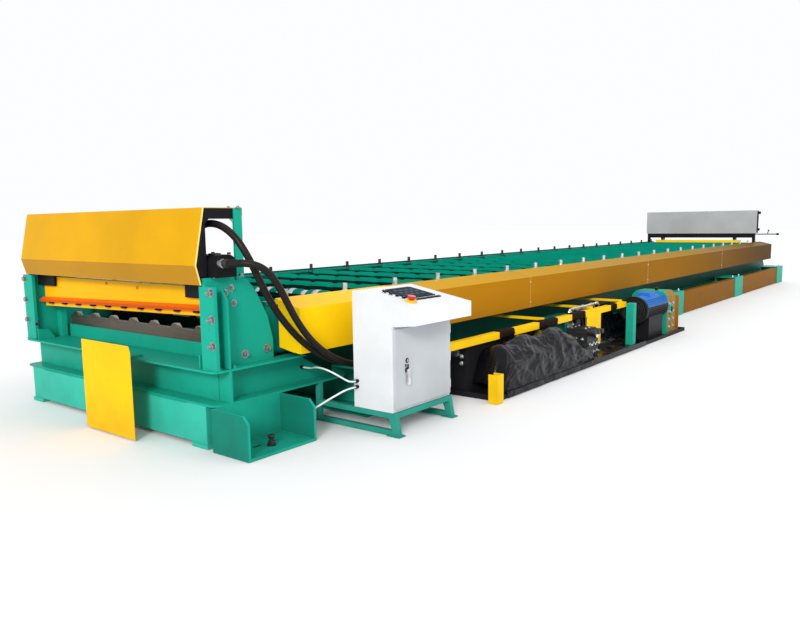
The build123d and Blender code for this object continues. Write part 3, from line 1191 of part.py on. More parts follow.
save("cable_upper", cord("cable_upper", CABLE_UPPER_ROUTE, CABLE_DIAMETER))
save("cable_lower", cord("cable_lower", CABLE_LOWER_ROUTE, CABLE_DIAMETER))
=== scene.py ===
import math

import bmesh
import bpy
from mathutils import Matrix, Vector, noise


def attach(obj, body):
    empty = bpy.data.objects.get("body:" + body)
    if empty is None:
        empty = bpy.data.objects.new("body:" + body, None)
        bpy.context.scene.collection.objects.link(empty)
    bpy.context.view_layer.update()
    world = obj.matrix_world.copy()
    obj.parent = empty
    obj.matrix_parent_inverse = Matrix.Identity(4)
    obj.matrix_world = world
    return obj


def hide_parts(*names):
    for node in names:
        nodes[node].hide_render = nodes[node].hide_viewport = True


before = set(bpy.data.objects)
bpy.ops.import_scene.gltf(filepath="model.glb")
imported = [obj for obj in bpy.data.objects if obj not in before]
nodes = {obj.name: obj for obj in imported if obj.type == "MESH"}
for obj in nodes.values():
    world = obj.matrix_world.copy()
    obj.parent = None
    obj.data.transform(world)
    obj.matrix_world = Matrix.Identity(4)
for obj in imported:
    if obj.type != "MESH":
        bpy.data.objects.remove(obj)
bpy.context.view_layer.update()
scene = bpy.context.scene


# Camera, at the view the photograph was taken from. The focal length was measured in pixels.
SENSOR_WIDTH = 36.0
FOCAL_PIXELS = 729.3
PICTURE_PIXELS = 800.0


def place_camera():
    place = Vector((-7.987, -3.619, 1.035))
    yaw = math.radians(38.576)
    pitch = math.radians(7.545)
    roll = math.radians(0.836)
    ahead = Vector((math.cos(yaw) * math.cos(pitch), math.sin(yaw) * math.cos(pitch),
                    -math.sin(pitch)))
    level = Vector((math.sin(yaw), -math.cos(yaw), 0.0))
    below = ahead.cross(level)
    right = level * math.cos(roll) + below * math.sin(roll)
    down = below * math.cos(roll) - level * math.sin(roll)
    data = bpy.data.cameras.new("camera")
    data.sensor_width = SENSOR_WIDTH
    data.lens = SENSOR_WIDTH * FOCAL_PIXELS / PICTURE_PIXELS
    data.clip_end = 200.0
    camera = bpy.data.objects.new("camera", data)
    turn = Matrix((right, -down, -ahead)).transposed().to_4x4()
    camera.matrix_world = Matrix.Translation(place) @ turn
    scene.collection.objects.link(camera)
    scene.camera = camera


place_camera()


# Hoses and cables, along the routes that they take in the solids. Routes and diameters are in metres.
HOSE_DIAMETER = 0.034
CABLE_DIAMETER = 0.009
HOSE_UPPER = [
    (-5.870, -0.640, 0.850), (-5.870, -0.640, 0.938), (-5.867, -0.688, 1.016), (-5.862, -0.780, 1.052),
    (-5.854, -0.876, 1.040), (-5.841, -0.958, 0.986), (-5.820, -1.010, 0.902), (-5.786, -1.034, 0.806),
    (-5.738, -1.044, 0.704), (-5.670, -1.050, 0.604), (-5.586, -1.053, 0.512), (-5.486, -1.054, 0.430),
    (-5.374, -1.056, 0.364), (-5.252, -1.062, 0.320), (-5.120, -1.078, 0.300), (-4.984, -1.092, 0.294),
    (-4.848, -1.098, 0.291), (-4.712, -1.108, 0.284), (-4.590, -1.124, 0.268), (-4.490, -1.138, 0.256),
    (-4.400, -1.138, 0.256)]
HOSE_LOWER = [
    (-5.892, -0.925, 0.866), (-5.892, -0.972, 0.866), (-5.884, -1.022, 0.869), (-5.858, -1.066, 0.868),
    (-5.820, -1.098, 0.852), (-5.781, -1.117, 0.816), (-5.742, -1.124, 0.762), (-5.694, -1.122, 0.686),
    (-5.634, -1.114, 0.598), (-5.556, -1.106, 0.506), (-5.462, -1.099, 0.426), (-5.354, -1.098, 0.360),
    (-5.236, -1.108, 0.314), (-5.110, -1.122, 0.293), (-4.984, -1.134, 0.287), (-4.848, -1.140, 0.285),
    (-4.712, -1.150, 0.279), (-4.590, -1.170, 0.264), (-4.490, -1.184, 0.256), (-4.400, -1.184, 0.256)]
CABLE_LOWER = [
    (-5.322, -1.200, 0.222), (-5.362, -1.200, 0.222), (-5.404, -1.200, 0.219), (-5.438, -1.188, 0.206),
    (-5.468, -1.160, 0.184), (-5.493, -1.126, 0.158), (-5.518, -1.105, 0.140), (-5.550, -1.105, 0.140)]
CABLE_UPPER = [
    (-5.322, -1.200, 0.252), (-5.356, -1.200, 0.252), (-5.390, -1.184, 0.274), (-5.412, -1.140, 0.302),
    (-5.418, -1.082, 0.318), (-5.408, -1.022, 0.318), (-5.382, -0.968, 0.306), (-5.350, -0.918, 0.290),
    (-5.350, -0.860, 0.290)]


def curve_length(obj):
    """The length of a cord along its middle."""
    bare = obj.data.copy()
    bare.bevel_depth = 0.0
    probe = bpy.data.objects.new("probe", bare)
    line = bpy.data.meshes.new_from_object(probe)
    points = [v.co for v in line.vertices]
    total = sum((b - a).length for a, b in zip(points[:-1], points[1:]))
    bpy.data.objects.remove(probe)
    bpy.data.meshes.remove(line)
    bpy.data.curves.remove(bare)
    return total


def lay_cord(name, route, diameter, node):
    """A round cord along a route, in place of the solid that stands for it."""
    data = bpy.data.curves.new(name, "CURVE")
    data.dimensions = "3D"
    spline = data.splines.new("NURBS")
    spline.points.add(len(route) - 1)
    for point, place in zip(spline.points, route):
        point.co = (*place, 1.0)
        point.radius = diameter / 2
    spline.order_u = 3
    spline.use_endpoint_u = True
    data.resolution_u = 12
    data.bevel_depth = 1.0
    data.bevel_resolution = 6
    data.use_fill_caps = True
    obj = bpy.data.objects.new(name, data)
    scene.collection.objects.link(obj)
    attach(obj, "frame")
    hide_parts(node)
    curve_length(obj)
    return obj


hose_upper = lay_cord("upper_hose", HOSE_UPPER, HOSE_DIAMETER, "hose_upper")
hose_lower = lay_cord("lower_hose", HOSE_LOWER, HOSE_DIAMETER, "hose_lower")
cable_lower = lay_cord("lower_cable", CABLE_LOWER, CABLE_DIAMETER, "cable_lower")
cable_upper = lay_cord("upper_cable", CABLE_UPPER, CABLE_DIAMETER, "cable_upper")


# Materials. A stretch under one draws a texture out along that axis.
EVEN = (1.0, 1.0, 1.0)
ALONG_BED = (0.25, 1.0, 1.0)
ACROSS_BED = (1.0, 0.1, 1.0)
# Where the painted shade along the bed starts and ends, along X in metres
FADE_START_X = -4.4
FADE_END_X = 4.0


def new_material(name):
    material = bpy.data.materials.new(name)
    material.use_nodes = True
    tree = material.node_tree
    shader = tree.nodes["Principled BSDF"]
    return material, tree, shader


def link(tree, source, target):
    tree.links.new(source, target)


def noise_node(tree, scale, detail=4.0, stretch=EVEN, distortion=0.0):
    place = tree.nodes.new("ShaderNodeTexCoord")
    mapping = tree.nodes.new("ShaderNodeMapping")
    mapping.inputs["Scale"].default_value = stretch
    texture = tree.nodes.new("ShaderNodeTexNoise")
    texture.inputs["Scale"].default_value = scale
    texture.inputs["Detail"].default_value = detail
    texture.inputs["Distortion"].default_value = distortion
    link(tree, place.outputs["Object"], mapping.inputs["Vector"])
    link(tree, mapping.outputs["Vector"], texture.inputs["Vector"])
    return texture


def ramp_node(tree, source, stops):
    ramp = tree.nodes.new("ShaderNodeValToRGB")
    elements = ramp.color_ramp.elements
    while len(elements) < len(stops):
        elements.new(0.5)
    for element, (position, value) in zip(elements, stops):
        element.position = position
        element.color = (*value, 1.0) if isinstance(value, tuple) else (value, value, value, 1.0)
    link(tree, source, ramp.inputs["Fac"])
    return ramp


def mix_colors(tree, factor, first, second):
    mix = tree.nodes.new("ShaderNodeMix")
    mix.data_type = "RGBA"
    link(tree, factor, mix.inputs["Factor"])
    for socket, value in ((mix.inputs["A"], first), (mix.inputs["B"], second)):
        if isinstance(value, tuple):
            socket.default_value = (*value, 1.0)
        else:
            link(tree, value, socket)
    return mix.outputs["Result"]


def add_bump(tree, shader, height, strength, distance):
    bump = tree.nodes.new("ShaderNodeBump")
    bump.inputs["Strength"].default_value = strength
    bump.inputs["Distance"].default_value = distance
    link(tree, height, bump.inputs["Height"])
    link(tree, bump.outputs["Normal"], shader.inputs["Normal"])


def low_dirt(tree, height):
    """A mask that is one at the floor and fades out at a height in metres, broken up by noise."""
    place = tree.nodes.new("ShaderNodeTexCoord")
    split = tree.nodes.new("ShaderNodeSeparateXYZ")
    link(tree, place.outputs["Object"], split.inputs["Vector"])
    fade = tree.nodes.new("ShaderNodeMapRange")
    fade.inputs["From Min"].default_value = 0.0
    fade.inputs["From Max"].default_value = height
    fade.inputs["To Min"].default_value = 0.75
    fade.inputs["To Max"].default_value = 0.0
    link(tree, split.outputs["Z"], fade.inputs["Value"])
    patches = noise_node(tree, 9.0, 6.0)
    times = tree.nodes.new("ShaderNodeMath")
    times.operation = "MULTIPLY"
    times.use_clamp = True
    link(tree, fade.outputs["Result"], times.inputs[0])
    link(tree, patches.outputs["Fac"], times.inputs[1])
    return times.outputs["Value"]


def painted_shade_along_bed(tree):
    """A mask that grows along the bed, for painted shade that darkens the covers towards the infeed."""
    place = tree.nodes.new("ShaderNodeTexCoord")
    split = tree.nodes.new("ShaderNodeSeparateXYZ")
    link(tree, place.outputs["Object"], split.inputs["Vector"])
    fade = tree.nodes.new("ShaderNodeMapRange")
    fade.inputs["From Min"].default_value = FADE_START_X
    fade.inputs["From Max"].default_value = FADE_END_X
    link(tree, split.outputs["X"], fade.inputs["Value"])
    return fade.outputs["Result"]


def enamel(name, color, roughness=0.34, dirt=0.55, streak=EVEN, fade=1.0, specular=0.05):
    """Sprayed machine enamel: a little cloudy, with an orange peel skin, scuffs and low dirt.

    dirt is the height in metres where the dirt ends, and fade is the share of the colour that is left
    at the infeed, as painted shade that darkens the paint along the bed.
    """
    material, tree, shader = new_material(name)
    dark = tuple(c * 0.90 for c in color)
    light = tuple(min(c * 1.06, 1.0) for c in color)
    clouds = noise_node(tree, 2.2, 5.0, streak)
    tone = ramp_node(tree, clouds.outputs["Fac"], [(0.34, dark), (0.66, light)])
    scuffs = noise_node(tree, 34.0, 8.0, EVEN, 0.6)
    worn = ramp_node(tree, scuffs.outputs["Fac"], [(0.66, 0.0), (0.74, 0.30)])
    rubbed = tuple(c * 0.62 for c in color)
    scuffed = mix_colors(tree, worn.outputs["Color"], tone.outputs["Color"], rubbed)
    grime = tuple(c * 0.35 + 0.012 for c in color)
    mask = low_dirt(tree, dirt)
    paint = mix_colors(tree, mask, scuffed, grime)
    # Painted shade: the colour darkens along the bed towards the infeed.
    if fade < 1.0:
        paint = mix_colors(tree, painted_shade_along_bed(tree), paint, tuple(c * fade for c in color))
    link(tree, paint, shader.inputs["Base Color"])
    gloss = ramp_node(tree, clouds.outputs["Fac"],
                      [(0.30, roughness - 0.07), (0.70, roughness + 0.10)])
    link(tree, gloss.outputs["Color"], shader.inputs["Roughness"])
    peel = noise_node(tree, 420.0, 2.0)
    add_bump(tree, shader, peel.outputs["Fac"], 0.08, 0.0006)
    shader.inputs["Specular IOR Level"].default_value = specular
    return material


def bright_metal(name, color, roughness=0.25, grain=EVEN, scale=60.0, metallic=1.0):
    """Ground or plated metal with a fine grain along one direction."""
    material, tree, shader = new_material(name)
    shader.inputs["Metallic"].default_value = metallic
    lines = noise_node(tree, scale, 6.0, grain)
    tone = ramp_node(tree, lines.outputs["Fac"],
                     [(0.32, tuple(c * 0.72 for c in color)),
                      (0.68, tuple(min(c * 1.1, 1.0) for c in color))])
    link(tree, tone.outputs["Color"], shader.inputs["Base Color"])
    gloss = ramp_node(tree, lines.outputs["Fac"],
                      [(0.30, max(roughness - 0.08, 0.04)), (0.72, roughness + 0.14)])
    link(tree, gloss.outputs["Color"], shader.inputs["Roughness"])
    add_bump(tree, shader, lines.outputs["Fac"], 0.10, 0.0005)
    return material


def plastic(name, color, roughness=0.4, bump=0.06, scale=300.0, coat=0.0, specular=0.12):
    """Plastic, rubber or cloth: a cloudy tone over a skin of fine bumps."""
    material, tree, shader = new_material(name)
    clouds = noise_node(tree, 14.0, 5.0)
    tone = ramp_node(tree, clouds.outputs["Fac"],
                     [(0.30, tuple(c * 0.82 for c in color)),
                      (0.70, tuple(min(c * 1.12, 1.0) for c in color))])
    link(tree, tone.outputs["Color"], shader.inputs["Base Color"])
    gloss = ramp_node(tree, clouds.outputs["Fac"],
                      [(0.3, max(roughness - 0.06, 0.03)), (0.7, roughness + 0.08)])
    link(tree, gloss.outputs["Color"], shader.inputs["Roughness"])
    skin = noise_node(tree, scale, 3.0)
    add_bump(tree, shader, skin.outputs["Fac"], bump, 0.0008)
    shader.inputs["Specular IOR Level"].default_value = specular
    shader.inputs["Coat Weight"].default_value = coat
    return material


GREEN = enamel("green_enamel", (0.009, 0.350, 0.245))
# A brighter green on the skirt: painted light from below and from the pale floor.
LIT_SKIRT_GREEN = enamel("painted_light_green_enamel", (0.036, 0.500, 0.370))
ROLL_GREEN = enamel("roll_green_enamel", (0.002, 0.190, 0.125), 0.40, 0.75, specular=0.0)
# A darker green for the bed: on the side walls and on the foot bracket's faces that look towards -X it is
# painted shade.
BED_GREEN = enamel("bed_green_enamel", (0.004, 0.215, 0.150), 0.34, 0.75)
# Near-black green: painted shade on the lower rolls, the tie bars and the undersides of the upper rolls,
# for the dark gaps in the bed.
SHADE_GREEN = enamel("painted_shade_green_enamel", (0.001, 0.016, 0.011), 0.30, 0.75, specular=0.0)
DEEP_GREEN = enamel("deep_green_enamel", (0.003, 0.110, 0.075), 0.40, 0.75)
STAND_GREEN = enamel("stand_green_enamel", (0.026, 0.300, 0.225), 0.36, 0.45)
YELLOW = enamel("yellow_enamel", (0.940, 0.570, 0.004), 0.32, 0.35)
PLATE_YELLOW = enamel("plate_yellow_enamel", (0.930, 0.480, 0.001), 0.32, 0.25)
# A paler yellow: painted light on the faces of the front cover that look down.
LIT_UNDERSIDE_YELLOW = enamel("painted_light_yellow_enamel", (0.980, 0.640, 0.020), 0.32, 0.25)
HOOD_YELLOW = enamel("hood_yellow_enamel", (0.600, 0.305, 0.001), 0.34, 0.20)
BEAM_YELLOW = enamel("beam_yellow_enamel", (0.900, 0.430, 0.001), 0.32, 0.20)
# The ochre covers darken towards the infeed as painted shade.
OCHRE = enamel("ochre_enamel", (0.425, 0.182, 0.006), 0.40, 0.45, ALONG_BED, 0.17, 0.01)
LAP = enamel("lap_enamel", (0.500, 0.240, 0.020), 0.40, 0.45, EVEN, 0.40)
# A darker hood yellow: painted shade on the lower band of the hood.
SHADED_HOOD_YELLOW = enamel("painted_shade_hood_enamel", (0.440, 0.210, 0.008), 0.36, 0.20)
BEAM_LIP = enamel("beam_lip_enamel", (0.560, 0.250, 0.020), 0.36, 0.20)
# A pale cream: painted highlight along the hood's near edge.
EDGE_HIGHLIGHT = enamel("painted_highlight_edge", (0.900, 0.640, 0.200), 0.36, 0.20)
PALE_GREEN = enamel("pale_green_enamel", (0.180, 0.420, 0.330), 0.36, 0.20)
AMBER = enamel("amber_enamel", (0.235, 0.098, 0.008), 0.42, 0.45, specular=0.01)
# A lighter ochre: painted light on the top faces of the near side cover, which also darkens along the bed
# as painted shade.
LIT_TOP_OCHRE = enamel("painted_light_top_ochre_enamel", (0.520, 0.270, 0.004), 0.40, 0.35, ALONG_BED, 0.26, 0.02)
PLATE_AMBER = enamel("plate_amber_enamel", (0.300, 0.130, 0.016), 0.42, 0.30)
ORANGE = enamel("orange_enamel", (0.820, 0.150, 0.004), 0.30, 0.20)
RED_ORANGE = enamel("red_orange_enamel", (0.560, 0.070, 0.004), 0.34, 0.20)
WHITE = enamel("white_powder_coat", (0.690, 0.700, 0.720), 0.42, 0.22)
PALE_GREY = enamel("pale_grey_powder_coat", (0.450, 0.470, 0.492), 0.42, 0.22)
GREY_SHEET = enamel("grey_sheet_paint", (0.370, 0.378, 0.378), 0.40, 0.10)
BLACK_PAINT = enamel("black_paint", (0.011, 0.011, 0.013), 0.40, 0.45)
BLUE = enamel("blue_enamel", (0.020, 0.160, 0.520), 0.34, 0.20)
ZINC = bright_metal("zinc_plate", (0.62, 0.63, 0.64), 0.30)
STEEL = bright_metal("bolt_steel", (0.36, 0.38, 0.38), 0.30, EVEN, 120.0)
WORN_STEEL = bright_metal("worn_steel", (0.34, 0.31, 0.28), 0.34, ACROSS_BED, 90.0, 0.8)
DIE_STEEL = bright_metal("oiled_die_steel", (0.150, 0.120, 0.095), 0.40, ACROSS_BED, 90.0, 0.75)
DARK_STEEL = bright_metal("darkened_steel", (0.060, 0.060, 0.058), 0.36, ACROSS_BED, 90.0, 0.85)
CHROME = bright_metal("chrome_plate", (0.80, 0.81, 0.83), 0.10, EVEN, 30.0)
BLACK_IRON = bright_metal("black_iron", (0.045, 0.045, 0.045), 0.46, EVEN, 40.0, 0.7)
RUBBER = plastic("hose_rubber", (0.012, 0.009, 0.007), 0.40, 0.25, 260.0, 0.0, 0.14)
BLACK_PLASTIC = plastic("black_plastic", (0.014, 0.014, 0.015), 0.36)
WHITE_PLASTIC = plastic("white_plastic", (0.74, 0.74, 0.73), 0.42)
RED_PLASTIC = plastic("red_plastic", (0.62, 0.012, 0.008), 0.22, 0.02, 200.0, 0.5)
YELLOW_PLASTIC = plastic("yellow_plastic", (0.86, 0.48, 0.010), 0.28, 0.02, 200.0, 0.3)
SCREEN_GLASS = plastic("screen_glass", (0.010, 0.020, 0.032), 0.45, 0.0, 10.0, 0.0, 0.02)
WRAP = plastic("dark_cloth_wrap", (0.014, 0.006, 0.004), 0.62, 0.5, 90.0, 0.0, 0.04)
SHEETING = plastic("black_plastic_sheeting", (0.004, 0.004, 0.006), 0.20, 0.55, 30.0, 0.0, 0.17)
ICON = plastic("screen_icon", (0.060, 0.095, 0.120), 0.45, 0.0, 50.0, 0.0, 0.02)

# The finish of each node
FINISHES = {
    # The skirt's brighter green is painted light.
    LIT_SKIRT_GREEN: ("shear_skirt",),
    GREEN: ("bed_sleepers", "shear_base_frame", "foot_bracket", "shear_cheek_near", "shear_cheek_far",
            "shear_crosshead", "hood_posts", "guide_columns", "die_support", "drive_gearbox", "drive_post"),
    # The side walls are dark as painted shade in the bed.
    BED_GREEN: ("side_walls", "cap_bars"),
    # The tie bars are near-black as painted shade in the bed.
    SHADE_GREEN: ("tie_bars",),
    DEEP_GREEN: ("bed_rails",),
    STAND_GREEN: ("cabinet_stand",),
    YELLOW: ("front_cover", "infeed_bar", "guard_rail", "guard_post"),
    PLATE_YELLOW: ("drop_plate",),
    HOOD_YELLOW: ("shear_hood",),
    BEAM_YELLOW: ("blade_beam",),
    OCHRE: ("side_cover_near", "side_cover_far"),
    PLATE_AMBER: ("end_guards",),
    AMBER: ("kick_panels",),
    ORANGE: ("clamp_bar",),
    WHITE: ("cabinet_body",),
    PALE_GREY: ("cabinet_door",),
    GREY_SHEET: ("infeed_panel",),
    # The oil tank is black as painted shade.
    BLACK_PAINT: ("infeed_frame", "infeed_lever", "drip_tray", "oil_tank", "shear_cylinders",
                  "blade_guides", "hood_ends"),
    BLUE: ("drive_motor",),
    ZINC: ("adjusting_screws", "hose_ports"),
    DARK_STEEL: ("upper_blade",),
    DIE_STEEL: ("lower_die",),
    CHROME: ("cylinder_rods", "door_handle"),
    BLACK_IRON: ("bearing_blocks", "valve_block"),
    BLACK_PLASTIC: ("cable_glands", "soft_cover"),
    RED_PLASTIC: ("stop_button",),
    YELLOW_PLASTIC: ("stop_ring",),
    SCREEN_GLASS: ("control_screen",),
}


def soften_edges(obj, width, angle=35.0):
    """Eased edges on a sharp solid, so that they catch the light."""
    weld = obj.modifiers.new("weld", "WELD")
    weld.merge_threshold = 0.00002
    bevel = obj.modifiers.new("bevel", "BEVEL")
    bevel.width = width
    bevel.segments = 2
    bevel.limit_method = "ANGLE"
    bevel.angle_limit = math.radians(angle)
    bevel.use_clamp_overlap = True
    bevel.harden_normals = True


for material, names in FINISHES.items():
    for name in names:
        obj = nodes[name]
        obj.data.materials.clear()
        obj.data.materials.append(material)
        for face in obj.data.polygons:
            face.material_index = 0
hose_upper.data.materials.append(RUBBER)
hose_lower.data.materials.append(RUBBER)
cable_upper.data.materials.append(WHITE_PLASTIC)
cable_lower.data.materials.append(WHITE_PLASTIC)


def paint_faces(node, material, test):
    """A second finish on the faces of a node whose centre and normal pass a test."""
    mesh = nodes[node].data
    mesh.materials.append(material)
    index = len(mesh.materials) - 1
    for face in mesh.polygons:
        if test(face.center, face.normal):
            face.material_index = index


# Building pieces. Sizes are in millimetres in the shared frame.
MILLIMETRE = 0.001


class Piece:
    """A piece that rides on one body, with a finish for each group of faces."""

    def __init__(self, name, material, body="frame", bevel=1.2):
        self.name = name
        self.body = body
        self.bevel = bevel
        self.mesh = bmesh.new()
        self.materials = [material]

    def slot(self, material):
        """The number of a finish on this piece."""
        if material is None:
            return 0
        if material not in self.materials:
            self.materials.append(material)
        return self.materials.index(material)

    def loft(self, rings, material=None, closed=True, smooth=False):
        """Rings of points in millimetres joined one to the next, capped at both ends."""
        index = self.slot(material)
        rows = [[self.mesh.verts.new(Vector(p) * MILLIMETRE) for p in ring] for ring in rings]
        count = len(rows[0])
        for lower, upper in zip(rows[:-1], rows[1:]):
            for i in range(count):
                j = (i + 1) % count
                face = self.mesh.faces.new((lower[i], lower[j], upper[j], upper[i]))
                face.material_index = index
                face.smooth = smooth
        if closed:
            for row in (rows[0][::-1], rows[-1]):
                self.mesh.faces.new(row).material_index = index

    def box(self, x0, x1, y0, y1, z0, z1, material=None):
        """A block between two values of each direction."""
        ring = [(x0, y0), (x1, y0), (x1, y1), (x0, y1)]
        self.loft([[(x, y, z) for x, y in ring] for z in (z0, z1)], material)

    def prism(self, points, along, a0, a1, material=None):
        """An outline in the two other directions, drawn out along X, Y or Z."""
        if along == "X":
            rings = [[(a, p, q) for p, q in points] for a in (a0, a1)]
        elif along == "Y":
            rings = [[(p, a, q) for p, q in points] for a in (a0, a1)]
        else:
            rings = [[(p, q, a) for p, q in points] for a in (a0, a1)]
        self.loft(rings, material)

    def turned(self, origin, axis, profile, sides=24, material=None, closed=True):
        """A turned shape: profile gives (distance along the axis, radius)."""
        axis = Vector(axis).normalized()
        side = axis.orthogonal().normalized()
        other = axis.cross(side)
        origin = Vector(origin)
        rings = []
        for distance, radius in profile:
            centre = origin + axis * distance
            ring = []
            for i in range(sides):
                angle = 2 * math.pi * i / sides
                ring.append(centre + (side * math.cos(angle) + other * math.sin(angle)) * radius)
            rings.append(ring)
        self.loft(rings, material, closed, smooth=sides > 10)

    def bolt(self, place, axis, across=24.0, head=11.0, material=None, shank=0.0, washer=True):
        """A hexagon head with a chamfered top on a washer, and a threaded end where shank is given."""
        radius = across / 2 / math.cos(math.pi / 6)
        start = 0.0
        if washer:
            rim = across * 0.86
            self.turned(place, axis, [(-0.5, rim), (2.0, rim), (2.6, across * 0.80)], 20, material)
            start = 2.0
        profile = [(start, radius), (start + head * 0.82, radius), (start + head, radius * 0.84)]
        self.turned(place, axis, profile, 6, material)
        if shank:
            top = start + head
            profile = [(top - 0.5, across * 0.30)]
            steps = max(int(shank / 3), 2)
            for step in range(steps):
                base = top + shank * step / steps
                profile += [(base + 0.3, across * 0.31), (base + shank / steps - 0.3, across * 0.27)]
            self.turned(place, axis, profile, 12, material)

    def done(self):
        """The finished piece, with its edges eased."""
        bmesh.ops.recalc_face_normals(self.mesh, faces=self.mesh.faces)
        data = bpy.data.meshes.new(self.name)
        self.mesh.to_mesh(data)
        self.mesh.free()
        obj = bpy.data.objects.new(self.name, data)
        for material in self.materials:
            data.materials.append(material)
        scene.collection.objects.link(obj)
        if self.bevel:
            bevel = obj.modifiers.new("bevel", "BEVEL")
            bevel.width = self.bevel * MILLIMETRE
            bevel.segments = 2
            bevel.limit_method = "ANGLE"
            bevel.angle_limit = math.radians(32)
            bevel.harden_normals = True
        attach(obj, self.body)
        return obj


# Rolls: each shaft with its row of forming rings
FIRST_STATION_X = -5420.0
STATION_PITCH = 450.0
STATION_COUNT = 23
STATIONS = [FIRST_STATION_X + STATION_PITCH * number for number in range(STATION_COUNT)]
UPPER_ROLL_Z = 604.0
LOWER_ROLL_Z = 492.0
SHAFT_END = 796
COLLAR_END = 768
ROLL_END = 758
SHAFT_RADIUS = 24
COLLAR_RADIUS = 38
RIB_COUNT = 8
RIB_PITCH = 204


def roll_row(name, node, z, material, pan_radius, rib_radius, bright=None):
    """One row of rolls. The ribs of the panel grow from the infeed to the outlet.

    bright is the number of the station whose rings are plated.
    """
    piece = Piece(name, material, bevel=0)
    for number, x in enumerate(STATIONS):
        depth = max(0.25, 1.0 - number * 0.035)
        top = pan_radius + (rib_radius - pan_radius) * depth
        start = [(SHAFT_END, SHAFT_RADIUS), (COLLAR_END, SHAFT_RADIUS), (COLLAR_END, COLLAR_RADIUS),
                 (ROLL_END, COLLAR_RADIUS), (ROLL_END, pan_radius)]
        profile = [(-y, radius) for y, radius in start]
        for rib in range(RIB_COUNT):
            y = (rib - (RIB_COUNT - 1) / 2) * RIB_PITCH
            profile += [(y - 36, pan_radius), (y - 20, top), (y + 20, top), (y + 36, pan_radius)]
        profile += start[::-1]
        piece.turned((x, 0, z), (0, 1, 0), profile, 28)
        if number == bright:
            for band in range(2 * RIB_COUNT - 1):
                y = (band - RIB_COUNT + 1) * RIB_PITCH / 2
                edge = pan_radius if band % 2 else top
                ring = [(-23, edge - 4), (-22, edge + 0.8), (22, edge + 0.8), (23, edge - 4)]
                piece.turned((x, y, z), (0, 1, 0), ring, 28, ZINC)
    obj = piece.done()
    # Painted shade: faces that look down take the near-black green, for the dark lines between the rolls.
    obj.data.materials.append(SHADE_GREEN)
    last = len(obj.data.materials) - 1
    for face in obj.data.polygons:
        if face.normal.z < 0.55:
            face.material_index = last
    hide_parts(node)
    return obj


roll_row("upper_roll_sets", "upper_rolls", UPPER_ROLL_Z, ROLL_GREEN, 54.0, 47.0, 1)
# The lower rolls are all in the near-black green, as painted shade.
roll_row("lower_roll_sets", "lower_rolls", LOWER_ROLL_Z, SHADE_GREEN, 46.0, 60.0)


# Second finishes on the shear and the covers
# Painted shade: the hood's faces that look back or down, inside and under it, are black.
paint_faces("shear_hood", BLACK_PAINT, lambda c, n: n.x > 0.15 or n.z < -0.3)
# Painted shade: the lower front band of the hood is a darker yellow.
paint_faces("shear_hood", SHADED_HOOD_YELLOW, lambda c, n: n.x < -0.5 and c.z < 0.86)
paint_faces("blade_beam", BEAM_LIP, lambda c, n: n.x < -0.3 and c.x < -5.88 and c.z < 0.64)
paint_faces("clamp_bar", RED_ORANGE, lambda c, n: n.x < -0.8)
# Painted shade: the foot bracket's faces that look towards -X are a darker green.
paint_faces("foot_bracket", BED_GREEN, lambda c, n: n.x < -0.6)
paint_faces("drop_plate", GREEN, lambda c, n: c.x > -6.098)
# Painted light and shade on the front cover: its downward faces are paler, and its top faces a darker
# yellow.
paint_faces("front_cover", LIT_UNDERSIDE_YELLOW, lambda c, n: n.z < -0.1)
paint_faces("front_cover", PLATE_YELLOW, lambda c, n: n.z > 0.3)
# Painted light: the top faces of the near cover are a lighter ochre.
paint_faces("side_cover_near", LIT_TOP_OCHRE, lambda c, n: n.z > 0.3)
paint_faces("side_cover_far", DEEP_GREEN, lambda c, n: n.z > 0.3 or n.y < -0.3 or c.y < 0.86)
paint_faces("lower_die", WORN_STEEL, lambda c, n: n.z > 0.5 and c.z > 0.52)

# A pale strip along the edge of the hood sheet, at the near end: a painted highlight
trim = Piece("hood_edge_highlight", EDGE_HIGHLIGHT, bevel=0)
trim.prism([(-5932.9, 1120.5), (-5989.1, 858.0), (-5965.0, 767.6), (-5960.6, 768.6), (-5984.0, 858.0),
            (-5928.0, 1119.4)], "Y", -851.3, -846.5)
trim.done()


# Clamps along the ledge of the raked beam, and the two plugs in its face
def beam_bottom(y):
    """The height of the lower edge of the beam, which is raked."""
    return 594.0 - 0.025 * y


clamps = Piece("ledge_clamps", BLACK_PAINT, "shear_blade", bevel=1.5)
for number in range(10):
    y = (number - 4.5) * 158.0
    z = beam_bottom(y) + 22.5
    clamps.prism([(y - 21, z), (y + 21, z), (y + 17, z - 8), (y - 17, z - 8)], "X", -5902, -5886)
for y, z in ((93, 735), (-205, 723)):
    clamps.turned((-5885, y, z), (-1, 0, 0), [(-0.5, 9), (2, 9), (5, 6)], 16, BEAM_LIP)
    clamps.turned((-5889.5, y, z), (-1, 0, 0), [(0, 3.5), (0.6, 3.2)], 6, BLACK_IRON)
clamps.done()

# Screws that hold the upper blade to its holder
blade_screws = Piece("blade_screws", BLACK_IRON, "shear_blade", bevel=0.4)
for number in range(9):
    y = (number - 4) * 178.0
    blade_screws.turned((-5772, y, 632), (-1, 0, 0), [(-0.5, 10), (7, 10), (8, 8.6)], 16)
    blade_screws.turned((-5779.8, y, 632), (-1, 0, 0), [(0, 5), (0.5, 5)], 6)
blade_screws.done()

